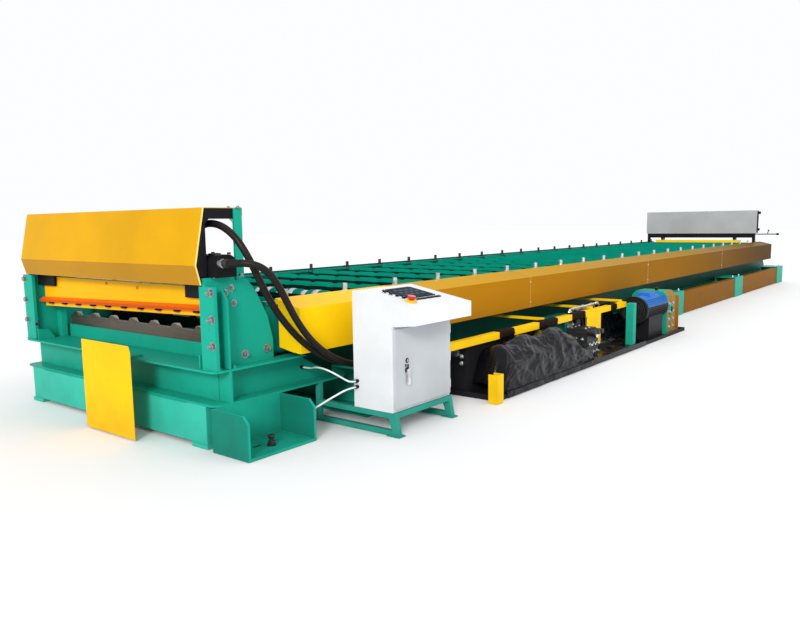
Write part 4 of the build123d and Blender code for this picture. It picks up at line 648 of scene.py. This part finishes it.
# Fasteners on the cheeks, the deck and the crosshead
CHEEK_Y = 860
bolts = Piece("shear_bolts", STEEL, bevel=0.5)
for side in (-1, 1):
    for z in (736, 612, 490):
        bolts.bolt((-5952, side * 902, z), (-1, 0, 0), 26, 13, None, 12 if side < 0 else 0)
    for x, z in ((-5838, 724), (-5802, 745), (-5788, 672)):
        bolts.bolt((x, side * CHEEK_Y, z), (0, side, 0), 20, 10, None, 6)
    for x, z in ((-5735, 419), (-5595, 428)):
        bolts.bolt((x, side * CHEEK_Y, z), (0, side, 0), 26, 12, None, 10)
    for x in (-5905, -5833, -5760):
        bolts.bolt((x, side * 885, 800), (0, 0, 1), 18, 9)
    for x in (-5925, -5840):
        bolts.bolt((x, side * 905, 373), (0, 0, 1), 20, 10, GREEN)
    for y in (790, 860):
        bolts.bolt((-5740, side * y, 1120), (0, 0, 1), 14, 6)
bolts.turned((-5952, 772, 470), (-1, 0, 0), [(-0.5, 17), (5, 17), (8, 12)], 20, BLACK_IRON)
bolts.turned((-5958, 772, 470), (-1, 0, 0), [(0, 8), (12, 8), (13, 6)], 6, BLACK_IRON)
bolts.done()

# Gussets of the hood posts, and at the feet of the cheeks
gusset = Piece("post_gussets", PALE_GREEN, bevel=0.6)
for side in (-1, 1):
    y0, y1 = sorted((side * 843.5, side * 848.5))
    gusset.prism([(-5818, 1102), (-5764, 1102), (-5764, 1050)], "Y", y0, y1)
    gusset.prism([(-5950, 373.2), (-5850, 373.2), (-5850, 380), (-5886, 430), (-5950, 438)], "Y",
                 *sorted((side * 788.0, side * 796.0)), material=GREEN)
gusset.done()


# Weld beads: a row of small overlapping drops along a line
def weld(piece, start, end, radius=3.2, step=6.0, material=None):
    start = Vector(start)
    end = Vector(end)
    count = max(int((end - start).length / step), 2)
    axis = (end - start).normalized()
    profile = []
    for number in range(count + 1):
        place = (end - start).length * number / count
        profile += [(place, radius * 0.78), (place + step * 0.45, radius)]
    piece.turned(start, axis, profile, 8, material)


beads = Piece("weld_beads", GREEN, bevel=0)
for side in (-1, 1):
    weld(beads, (-5930, side * 861, 375), (-5560, side * 861, 375))
    weld(beads, (-5954, side * 818, 374), (-5954, side * 920, 374))
    weld(beads, (-5932, side * 862, 380), (-5932, side * 862, 756))
    weld(beads, (-5868, side * 862, 380), (-5868, side * 862, 750), 2.6)
weld(beads, (-5752, -770, 375), (-5752, 770, 375))
weld(beads, (-5972, -700, 204), (-5972, 700, 204))
weld(beads, (-5980, -928, 16), (-5580, -928, 16))
weld(beads, (-5972, -930, 18), (-5972, -1150, 18), 2.6)
beads.done()

# The bolt that stands in the foot bracket, and the slot beside it
ANCHOR_X = -5779
ANCHOR_Y = -1078
anchor = Piece("levelling_bolt", BLACK_IRON, bevel=0.6)
thread = [(14 + 3 * turn + rise, radius) for turn in range(13)
          for rise, radius in ((0.2, 11.4), (1.5, 10.2))]
for z, profile, sides in ((1, [(0, 10.5)] + thread + [(54, 9.5)], 18),
                          (14.2, [(0, 22), (3, 22), (4, 20.5)], 24),
                          (18, [(0, 20.5), (16, 20.5), (19, 18)], 6),
                          (50, [(0, 14), (5, 19), (12, 20.5), (15, 18)], 6)):
    anchor.turned((ANCHOR_X, ANCHOR_Y, z), (0, 0, 1), profile, sides)
anchor.prism([(-5850, -1043), (-5812, -1043), (-5804, -1036), (-5812, -1029), (-5850, -1029),
              (-5858, -1036)], "Z", 13.6, 14.6, BLACK_PAINT)
anchor.done()


# Hydraulic fittings: crimped sleeves and nuts at both ends of the hoses
def sleeve(piece, place, axis, length=40.0):
    piece.turned(place, axis, [(-1, 14), (-1, 22), (8, 22), (8.5, 19.5)], 6, ZINC)
    profile = [(8, 17.8)]
    for number in range(4):
        base = 10 + (length - 12) * number / 4
        profile += [(base, 19.6), (base + 5, 19.6), (base + 6, 18.6), (base + 6.8, 18.6)]
    profile += [(length, 19.4), (length + 1, 17.6)]
    piece.turned(place, axis, profile, 24, BLACK_IRON)


fittings = Piece("hose_fittings", ZINC, bevel=0.5)
sleeve(fittings, (-5892, -925, 866), (0, -1, 0))
sleeve(fittings, (-5870, -640, 850), (0, 0, 1))
sleeve(fittings, (-4400, -1138, 256), (-1, 0, 0))
sleeve(fittings, (-4400, -1184, 256), (-1, 0, 0))
for y, z in ((-1216, 238), (-1214, 196)):
    fittings.turned((-4380, y, z), (-1, 0, 0), [(-0.5, 15), (9, 15), (11, 12.5)], 6)
    fittings.turned((-4391, y, z), (-1, 0, 0), [(0, 9), (10, 9), (12, 7)], 16)
fittings.done()

# Bolts and end caps on top of the cylinders
CYLINDER_TOP = 905
caps = Piece("cylinder_caps", BLACK_PAINT, bevel=0.8)
for side in (-1, 1):
    for x in (-5895, -5823):
        for y in (764, 883):
            caps.turned((x, side * y, CYLINDER_TOP), (0, 0, 1), [(-0.5, 9), (8, 9), (9, 7.6)], 16,
                        BLACK_IRON)
    caps.turned((-5859, side * 823, CYLINDER_TOP), (0, 0, 1), [(-0.5, 30), (3, 30), (5, 26)], 32)
caps.done()


# Washers and lock nuts of the adjusting screws, and the small screws beside them
SCREW_Y = 818
CAP_TOP = 655
nuts = Piece("screw_lock_nuts", ZINC, bevel=0.6)
for x in STATIONS:
    for side in (-1, 1):
        metal = ZINC if side < 0 else BLACK_IRON
        place = (x, side * SCREW_Y, CAP_TOP)
        nuts.turned(place, (0, 0, 1), [(0, 23), (2, 23), (3, 21)], 18, metal)
        nuts.turned(place, (0, 0, 1), [(3, 17.5), (14, 17.5), (16, 15.5)], 6, metal)
        for offset in (-30, 30):
            place = (x + offset, side * SCREW_Y, CAP_TOP)
            nuts.turned(place, (0, 0, 1), [(-0.5, 7), (5, 7), (6, 6)], 6, BLACK_IRON)
nuts.done()
paint_faces("adjusting_screws", BLACK_IRON, lambda c, n: c.y > 0)

# The laps and screws of the side covers
laps = Piece("cover_laps", LAP, bevel=0.5)
screws = Piece("cover_screws", ZINC, bevel=0.3)
for side in (-1, 1):
    for x in (-3170, -740, 1900):
        y0, y1 = sorted((side * 1018.0, side * 1019.2))
        laps.box(x - 9, x + 9, y0, y1, 402, 627)
        strips = []
        for y, z, under_y, under_z in ((1019.0, 628, 1018.6, 626.6), (847.0, 671.2, 846.6, 670)):
            strips.append([(x - 9, side * y, z), (x + 9, side * y, z), (x + 9, side * under_y, under_z),
                           (x - 9, side * under_y, under_z)])
        laps.loft(strips)
        for z in (440, 590):
            screws.turned((x, side * 1019, z), (0, side, 0), [(0, 6.5), (3, 5.6), (4.4, 3)], 14)
laps.done()
screws.done()

# Eased edges: wide on plates and castings, narrow on sheets and small parts
for name in ("shear_base_frame", "shear_skirt", "foot_bracket", "shear_cheek_near", "shear_cheek_far",
             "blade_beam", "drop_plate", "cabinet_stand", "bed_sleepers", "drive_gearbox", "drive_post"):
    soften_edges(nodes[name], 0.0025)
for name in ("cabinet_body", "cabinet_door", "infeed_panel", "guard_post", "lower_die", "upper_blade",
             "bearing_blocks", "cap_bars", "tie_bars", "side_cover_near", "front_cover", "side_cover_far",
             "clamp_bar", "die_support", "guide_columns", "drive_motor", "control_screen", "kick_panels"):
    soften_edges(nodes[name], 0.0015)


# Control console: screen, icons and buttons in the plane of the sloping top
SLOPE = math.atan2(706.0 - 632.0, 392.0)
CONSOLE = Vector((-5026.0, -1318.0, 632.0 + 247.0 * math.tan(SLOPE)))
UP_SLOPE = Vector((0, math.cos(SLOPE), math.sin(SLOPE)))
OUT = Vector((0, -math.sin(SLOPE), math.cos(SLOPE)))


def console(u, v, height=0.0):
    """A place on the console: along it, up its slope, and out from its face."""
    return CONSOLE + Vector((u, 0, 0)) + UP_SLOPE * v + OUT * height


def console_plate(piece, u0, u1, v0, v1, low, high, material=None, cut=3.0):
    """A flat plate on the console with its corners cut."""
    outline = [(u0 + cut, v0), (u1 - cut, v0), (u1, v0 + cut), (u1, v1 - cut), (u1 - cut, v1),
               (u0 + cut, v1), (u0, v1 - cut), (u0, v0 + cut)]
    piece.loft([[console(u, v, height) for u, v in outline] for height in (low, high)], material)


panel = Piece("console_panel", BLACK_PLASTIC, bevel=0.4)
console_plate(panel, -94, 94, -62, 66, 5.8, 6.6, SCREEN_GLASS)
for row in range(3):
    for column in range(4):
        u = -66 + column * 44.0
        v = -38 + row * 38.0
        console_plate(panel, u - 13, u + 13, v - 10, v + 10, 6.5, 6.9, ICON, 4.0)
for u0, u1 in ((-118, -78), (-72, -4), (2, 52), (58, 118)):
    console_plate(panel, u0, u1, -124, -106, -0.3, 5.0, BLACK_PLASTIC, 3.0)
    console_plate(panel, u0 + 4, u1 - 4, -120, -110, 4.8, 6.6, BLACK_IRON, 2.0)
for number in range(4):
    place = console(-142, -78 + number * 42.0)
    panel.turned(place, OUT, [(-0.3, 13), (3, 13), (4, 11.5)], 24, CHROME)
    panel.turned(place, OUT, [(3, 9.5), (13, 8.6), (14, 7.4)], 20, BLACK_PLASTIC)
for u, v in ((-104, -80), (104, -80), (-104, 80), (104, 80)):
    panel.turned(console(u, v, 6), OUT, [(-0.3, 4), (1.2, 3.6), (1.8, 2.0)], 12, ZINC)
panel.done()

# Cabinet door: the lock and the handle's plate ride on the leaf, and the hinges stay on the cabinet
door = Piece("door_lock", BLACK_PLASTIC, "cabinet_door_leaf", bevel=0.4)
door.turned((-5204, -1438.3, 366), (0, -1, 0), [(0, 12), (4, 12), (5.5, 10)], 24)
door.turned((-5204, -1443.6, 366), (0, -1, 0), [(0, 6.5), (1.5, 6.5), (2, 5.5)], 20, CHROME)
door.box(-5205.2, -5202.8, -1446.2, -1445.4, 361, 371, BLACK_PLASTIC)
door.prism([(-5228, 268), (-5180, 268), (-5176, 272), (-5176, 384), (-5180, 388), (-5228, 388),
            (-5232, 384), (-5232, 272)], "Y", -1439.3, -1438.2, PALE_GREY)
door.prism([(-5206, 276), (-5190, 276), (-5190, 346), (-5206, 346)], "Y", -1440.4, -1439.1, BLACK_PLASTIC)
door.prism([(-5230, 334), (-5208, 334), (-5208, 352), (-5230, 352)], "Y", -1444.0, -1439.1, CHROME)
door.prism([(-5226, 336), (-5212, 336), (-5212, 350), (-5226, 350)], "Y", -1445.0, -1443.8, BLACK_IRON)
door.done()
hinges = Piece("door_hinges", CHROME, bevel=0.4)
for z in (182, 330, 478):
    profile = [(0, 4.0), (1, 5.4), (23, 5.4), (23.6, 4.6), (24.4, 4.6), (25, 5.4), (47, 5.4), (48, 4.0)]
    hinges.turned((-4823, -1431, z - 24), (0, 0, 1), profile, 18)
hinges.done()
paint_faces("cabinet_door", BLACK_PLASTIC, lambda c, n: c.y < -1.4389)


# Motor: cooling fins, and a black fan cowl with its grille; the lower half of the motor and its lower fins
# are black as painted shade
MOTOR_Y = -1330
MOTOR_Z = 270
MOTOR_RADIUS = 110
COWL_END_X = -1926
FIN_COUNT = 40
motor = Piece("motor_fins", BLUE, bevel=0.5)
for number in range(FIN_COUNT):
    angle = 2 * math.pi * number / FIN_COUNT
    if math.sin(angle) > 0.80 or math.sin(angle) < -0.52:
        continue
    side = Vector((0, math.cos(angle), math.sin(angle)))
    across = Vector((0, -math.sin(angle), math.cos(angle)))
    rings = []
    for x, tall in ((-1872, 6.0), (-1862, 9.5), (-1400, 9.5), (-1388, 6.0)):
        foot = Vector((x, MOTOR_Y, MOTOR_Z)) + side * MOTOR_RADIUS
        tip = foot + side * (1 + tall)
        rings.append([foot - across * 1.8, foot + across * 1.8, tip + across, tip - across])
    # Painted shade: the fins on the lower side are black.
    motor.loft(rings, BLUE if side.z > 0.25 else BLACK_PAINT)
motor.done()
paint_faces("drive_gearbox", PLATE_AMBER, lambda c, n: n.y < -0.5)
# The fan cowl is black, and the lower half of the motor is black as painted shade.
paint_faces("drive_motor", BLACK_PAINT, lambda c, n: c.x < -1.879 or c.z < 0.295)
grille = Piece("motor_grille", BLACK_IRON, bevel=0)
for radius in (30, 46, 62, 78, 94):
    ring = [(0, radius - 2), (0, radius + 2), (3, radius + 1.4), (3, radius - 1.4), (0, radius - 2)]
    grille.turned((COWL_END_X, MOTOR_Y, MOTOR_Z), (-1, 0, 0), ring, 40, closed=False)
grille.turned((COWL_END_X, MOTOR_Y, MOTOR_Z), (-1, 0, 0), [(-0.5, 18), (4, 16), (6, 8)], 24)
grille.done()
# Gearbox: flange bolts, a bearing cover with its cap, and a breather
gear = Piece("gearbox_details", ZINC, bevel=0.5)
for z in (70, 140, 210, 280):
    gear.bolt((-1243, -1435, z), (0, -1, 0), 18, 9)
    gear.bolt((-1340, -1435, z), (0, -1, 0), 18, 9)
gear.turned((-1292, -1443, 230), (0, -1, 0), [(-9, 52), (-1, 52), (1, 48)], 40, GREEN)
gear.turned((-1292, -1445, 230), (0, -1, 0), [(0, 24), (6, 24), (8, 20)], 32, BLACK_IRON)
gear.turned((-1292, -1300, 392), (0, 0, 1), [(-0.5, 14), (10, 14), (14, 20), (24, 20), (28, 12)], 24,
            BLACK_PLASTIC)
gear.done()

# Fittings, gauges and pipes on the valve block
valves = Piece("valve_fittings", ZINC, bevel=0.4)
for number in range(3):
    x = -2927 + number * 62.0
    for y, z in ((-1380, 60), (-1380, 120)):
        valves.turned((x, y, z), (0, -1, 0), [(-0.5, 15), (9, 15), (11, 13)], 6)
        valves.turned((x, y - 11, z), (0, -1, 0), [(0, 10), (12, 10), (13, 8)], 16, CHROME)
    for y in (-1350, -1240):
        valves.turned((x, y, 236), (0, 0, 1), [(-0.5, 8), (7, 8), (8, 6.6)], 6)
for z in (60, 110, 160):
    for y in (-1340, -1290, -1240):
        valves.turned((-2960, y, z), (-1, 0, 0), [(-0.5, 14), (9, 14), (11, 12)], 6)
        valves.turned((-2971, y, z), (-1, 0, 0), [(0, 9), (20, 9), (21, 7)], 16, CHROME)
        valves.turned((-2770, y, z), (1, 0, 0), [(-0.5, 14), (9, 14), (11, 12)], 6)
        valves.turned((-2759, y, z), (1, 0, 0), [(0, 9), (16, 9), (17, 7)], 16, CHROME)
dial = [(-12, 8), (0, 8), (0, 31), (22, 31), (24, 28)]
valves.turned((-2865, -1392, 196), (0, -1, 0), dial, 32, BLACK_IRON)
valves.turned((-2865, -1416, 196), (0, -1, 0), [(0, 27.5), (0.8, 27)], 32, WHITE_PLASTIC)
valves.done()


def pipe(piece, path, radius, material=None, sides=12):
    """A bent pipe: a round section carried along a path of points, turned by the least at each one."""
    points = [Vector(p) for p in path]
    smooth = []
    for before, corner, after in zip(points[:-2], points[1:-1], points[2:]):
        shorter = min((corner - before).length, (after - corner).length)
        reach = min(shorter * 0.48, radius * 4.5)
        a = corner + (before - corner).normalized() * reach
        b = corner + (after - corner).normalized() * reach
        smooth += [a.lerp(corner, t).lerp(corner.lerp(b, t), t) for t in (0, 0.2, 0.4, 0.6, 0.8, 1.0)]
    smooth = [points[0]] + smooth + [points[-1]]
    side = (smooth[1] - smooth[0]).orthogonal().normalized()
    rings = []
    for number, place in enumerate(smooth):
        ahead = smooth[min(number + 1, len(smooth) - 1)] - smooth[max(number - 1, 0)]
        ahead.normalize()
        side = (side - ahead * side.dot(ahead)).normalized()
        other = ahead.cross(side)
        ring = []
        for k in range(sides):
            angle = 2 * math.pi * k / sides
            ring.append(place + (side * math.cos(angle) + other * math.sin(angle)) * radius)
        rings.append(ring)
    piece.loft(rings, material, smooth=True)


pipes = Piece("valve_pipes", CHROME, bevel=0)
for number in range(4):
    x = -2936 + 52 * number
    y = -1215 + 14 * number
    top = 372 - 13 * number
    end = -2370 - 56 * number
    pipe(pipes, [(x, y, 232), (x, y, top), (end, y + 10, top + 4 - 3 * number),
                 (end + 26, y + 16, 300 - 12 * number), (end + 30, y + 18, 44)], 7.0)
    pipes.turned((x, y, 236), (0, 0, 1), [(-1, 14), (11, 14), (13, 11)], 6, ZINC)
    for along in (0.12, 0.42, 0.70, 0.90):
        place = (x + (end - x) * along, y + 10 * along, top + (4 - 3 * number) * along)
        pipes.turned(place, (1, 0, 0), [(0, 8), (1, 14), (18, 14), (19, 11), (30, 11), (31, 8)], 6, ZINC)
pipes.done()

# Cloth wraps over the guard rail
wraps = Piece("rail_wraps", WRAP, bevel=0)
for x0, x1 in ((-4030, -3850), (-3500, -3232), (-2985, -2765), (-2260, -2150)):
    rings = []
    steps = int((x1 - x0) / 9)
    for number in range(steps + 1):
        x = x0 + (x1 - x0) * number / steps
        ring = []
        for i in range(20):
            angle = 2 * math.pi * i / 20
            corner = 1 / max(abs(math.cos(angle)), abs(math.sin(angle)))
            puff = 26.0 * min(corner, 1.22) + 3.0 + 5.0 * noise.noise(Vector((x * 0.02, angle * 1.7, x0)))
            ring.append((x, -1246 + puff * math.cos(angle), 323 + puff * math.sin(angle)))
        rings.append(ring)
    wraps.loft(rings, smooth=True)
wraps.done()


# Plastic sheeting: thrown over the pump set, and lying in the tray
def crumple(place, size):
    """Height of the creases at a place, from -1 to 1: sharp ridges between slack, rounded fields."""
    point = Vector(place) / size
    folds = 1.0 - 2.0 * abs(noise.noise(point))
    small = 1.0 - 2.0 * abs(noise.noise(point * 2.7 + Vector((7.3, 1.1, 4.2))))
    slack = noise.noise(point * 0.45 + Vector((2.0, 9.0, 5.0)))
    return 0.50 * folds + 0.25 * small + 0.45 * slack


def sheet_object(name, rows, node):
    """One sheet from rows of points, in place of the solid that stands for it, if there is one."""
    count = len(rows[0])
    mesh = bpy.data.meshes.new(name)
    mesh.from_pydata([Vector(p) * MILLIMETRE for row in rows for p in row], [], [
        (r * count + c, r * count + c + 1, (r + 1) * count + c + 1, (r + 1) * count + c)
        for r in range(len(rows) - 1) for c in range(count - 1)])
    mesh.materials.append(SHEETING)
    for face in mesh.polygons:
        face.use_smooth = True
    obj = bpy.data.objects.new(name, mesh)
    scene.collection.objects.link(obj)
    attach(obj, "frame")
    if node:
        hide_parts(node)
    return obj


# Where a sheet lies in Y and Z, from the outside of the tray inwards
COVER_LINE = [(-1497, 9), (-1491, 37), (-1474, 38), (-1466, 44), (-1464, 90), (-1462, 130), (-1455, 196),
              (-1420, 250), (-1385, 292), (-1352, 314), (-1316, 306), (-1280, 292), (-1248, 278)]
TRAY_LINE = [(-1497, 9), (-1491, 36), (-1471, 38), (-1454, 26), (-1400, 26), (-1240, 30), (-1170, 70),
             (-1128, 190), (-1112, 326), (-1122, 336)]
COVER_X0 = -4312
COVER_LENGTH = 1272
COVER_STEPS = 140
COVER_STEPS_ACROSS = 70
TRAY_X0 = -3050
TRAY_LENGTH = 1570
TRAY_STEPS = 160
TRAY_STEPS_ACROSS = 75
TRAY_FLOOR = 8.0


def line_point(line, share):
    """The point at a share of the length of a line, from its start."""
    lengths = [math.dist(a, b) for a, b in zip(line[:-1], line[1:])]
    goal = share * sum(lengths)
    for (a, b), length in zip(zip(line[:-1], line[1:]), lengths):
        if goal <= length:
            part = goal / length
            return a[0] + (b[0] - a[0]) * part, a[1] + (b[1] - a[1]) * part
        goal -= length
    return line[-1]


# Over the pump set: high over the tank, and low at its two ends
rows = []
for i in range(COVER_STEPS + 1):
    x = COVER_X0 + COVER_LENGTH * i / COVER_STEPS
    near = min(1.0, (x + 4318) / 150)
    far = min(1.0, (-3034 - x) / 420)
    height = 0.16 + 0.84 * math.sin(near * math.pi / 2)
    height *= 0.42 + 0.58 * math.sin(max(far, 0) * math.pi / 2)
    height *= 1.0 - 0.10 * math.sin((x + 4310) / 1270 * math.pi * 3.1) ** 2
    row = []
    for j in range(COVER_STEPS_ACROSS + 1):
        y, z = line_point(COVER_LINE, j / COVER_STEPS_ACROSS)
        tall = z if y < -1470 else 9 + (z - 9) * height
        crease = crumple((x * 0.8, y * 1.3, z * 1.2), 118.0)
        push = (8 + 14 * min(1.0, z / 150)) * (crease - 0.25)
        out = push * (0.75 if z < 290 else 0.2)
        row.append((x, min(y - out, -1244.0), max(tall + push * 0.7, TRAY_FLOOR)))
    rows.append(row)
sheet_object("pump_sheet", rows, "soft_cover")

# In the tray: flat round the valve block, then hung up behind it, and lower and narrower behind the motor.
# The hung part is a dark sheet put as painted shade, where the floor under the bed would show through
rows = []
for i in range(TRAY_STEPS + 1):
    x = TRAY_X0 + TRAY_LENGTH * i / TRAY_STEPS
    # Painted shade: how far the dark sheet is raised behind the valve block and the motor.
    hung = max(0.0, min(1.0, (x + 2800) / 180))
    hung *= 0.62 + 0.38 * max(0.0, min(1.0, (-1880 - x) / 70))
    hung *= min(1.0, (-1480 - x) / 60 + 0.2)
    narrow = max(0.0, min(1.0, (x + 2050) / 90))
    row = []
    for j in range(TRAY_STEPS_ACROSS + 1):
        line_y, z = line_point(TRAY_LINE, j / TRAY_STEPS_ACROSS)
        y = line_y + (-1112 - line_y) * 0.76 * narrow
        crease = crumple((x, y, z), 110.0)
        low = 26 + 15 * crease
        if -2975 < x < -2755 and -1400 < y < -1180:
            low = min(low, 34)
        rise = max(0.0, z - 34) * hung
        if line_y < -1455:
            low = z + 5 * crease
        row.append((x, y - (10 + 12 * crease) * min(1.0, rise / 60), max(low + rise, TRAY_FLOOR)))
    rows.append(row)
sheet_object("tray_sheet", rows, None)


# Infeed guard: the side plate with its knobs, the lever's joint, and screws along the panel
infeed = Piece("infeed_fittings", BLACK_PAINT, bevel=1.0)
infeed.prism([(4372, 806), (4410, 806), (4414, 1090), (4404, 1146), (4380, 1152), (4368, 1120),
              (4368, 840)], "Y", -872, -857)
knob = [(-1, 16), (8, 16), (12, 24), (26, 24), (32, 16)]
infeed.turned((4390, -872, 1118), (0, -1, 0), knob, 24, BLACK_PLASTIC)
knob = [(-1, 12), (6, 12), (9, 20), (22, 20), (27, 12)]
infeed.turned((4390, -872, 862), (0, -1, 0), knob, 24, BLACK_PLASTIC)
grip = [(0, 6), (46, 6), (46, 12), (58, 14), (66, 8)]
infeed.turned((4390, -1010, 792), (0.3, -0.25, 1), grip, 16, BLACK_IRON)
for y in range(-800, 801, 160):
    for z in (820, 1140):
        infeed.turned((4366, y, z), (-1, 0, 0), [(-0.3, 6), (2, 5.6), (3.2, 3)], 12, ZINC)
infeed.done()

# Bed: bolts through the walls into the tie bars, and feet of the cross sleepers
bed = Piece("bed_bolts", BLACK_IRON, bevel=0.4)
for side in (-1, 1):
    for number, x in enumerate(STATIONS[:-1]):
        y = side * (840 if number > 0 else 839)
        bed.bolt((x + STATION_PITCH / 2, y, 620), (0, side, 0), 18, 8)
    for x in (-4912, -2520, 0, 2520, 5040):
        for offset in (-150, 150):
            bed.bolt((x + offset, side * 1040, 262), (0, 0, 1), 22, 12, ZINC, 10)
bed.done()


# Stage: a pale floor under an even sky, with a broad light and a weak one against it
FLOOR_HALF_WIDTH = 60
FLOOR_Z = -0.001


def stage():
    floor = bpy.data.meshes.new("floor")
    corners = [(-1, -1), (1, -1), (1, 1), (-1, 1)]
    floor.from_pydata([(x * FLOOR_HALF_WIDTH, y * FLOOR_HALF_WIDTH, FLOOR_Z) for x, y in corners], [],
                      [(0, 1, 2, 3)])
    ground = bpy.data.objects.new("floor", floor)
    scene.collection.objects.link(ground)
    material, _, shader = new_material("pale_floor")
    shader.inputs["Base Color"].default_value = (0.80, 0.80, 0.80, 1.0)
    shader.inputs["Roughness"].default_value = 0.75
    floor.materials.append(material)
    world = bpy.data.worlds.new("studio")
    scene.world = world
    world.use_nodes = True
    sky = world.node_tree.nodes["Background"]
    sky.inputs["Color"].default_value = (0.97, 0.985, 1.0, 1.0)
    sky.inputs["Strength"].default_value = 1.0
    for direction, strength, angle in (((0.80, 0.44, -0.42), 2.1, 16.0), ((-0.30, 0.80, -0.60), 0.4, 30.0)):
        data = bpy.data.lights.new("key", "SUN")
        data.energy = strength
        data.angle = math.radians(angle)
        light = bpy.data.objects.new("key", data)
        light.rotation_euler = Vector(direction).to_track_quat("-Z", "Y").to_euler()
        scene.collection.objects.link(light)


stage()
scene.view_settings.view_transform = "Standard"
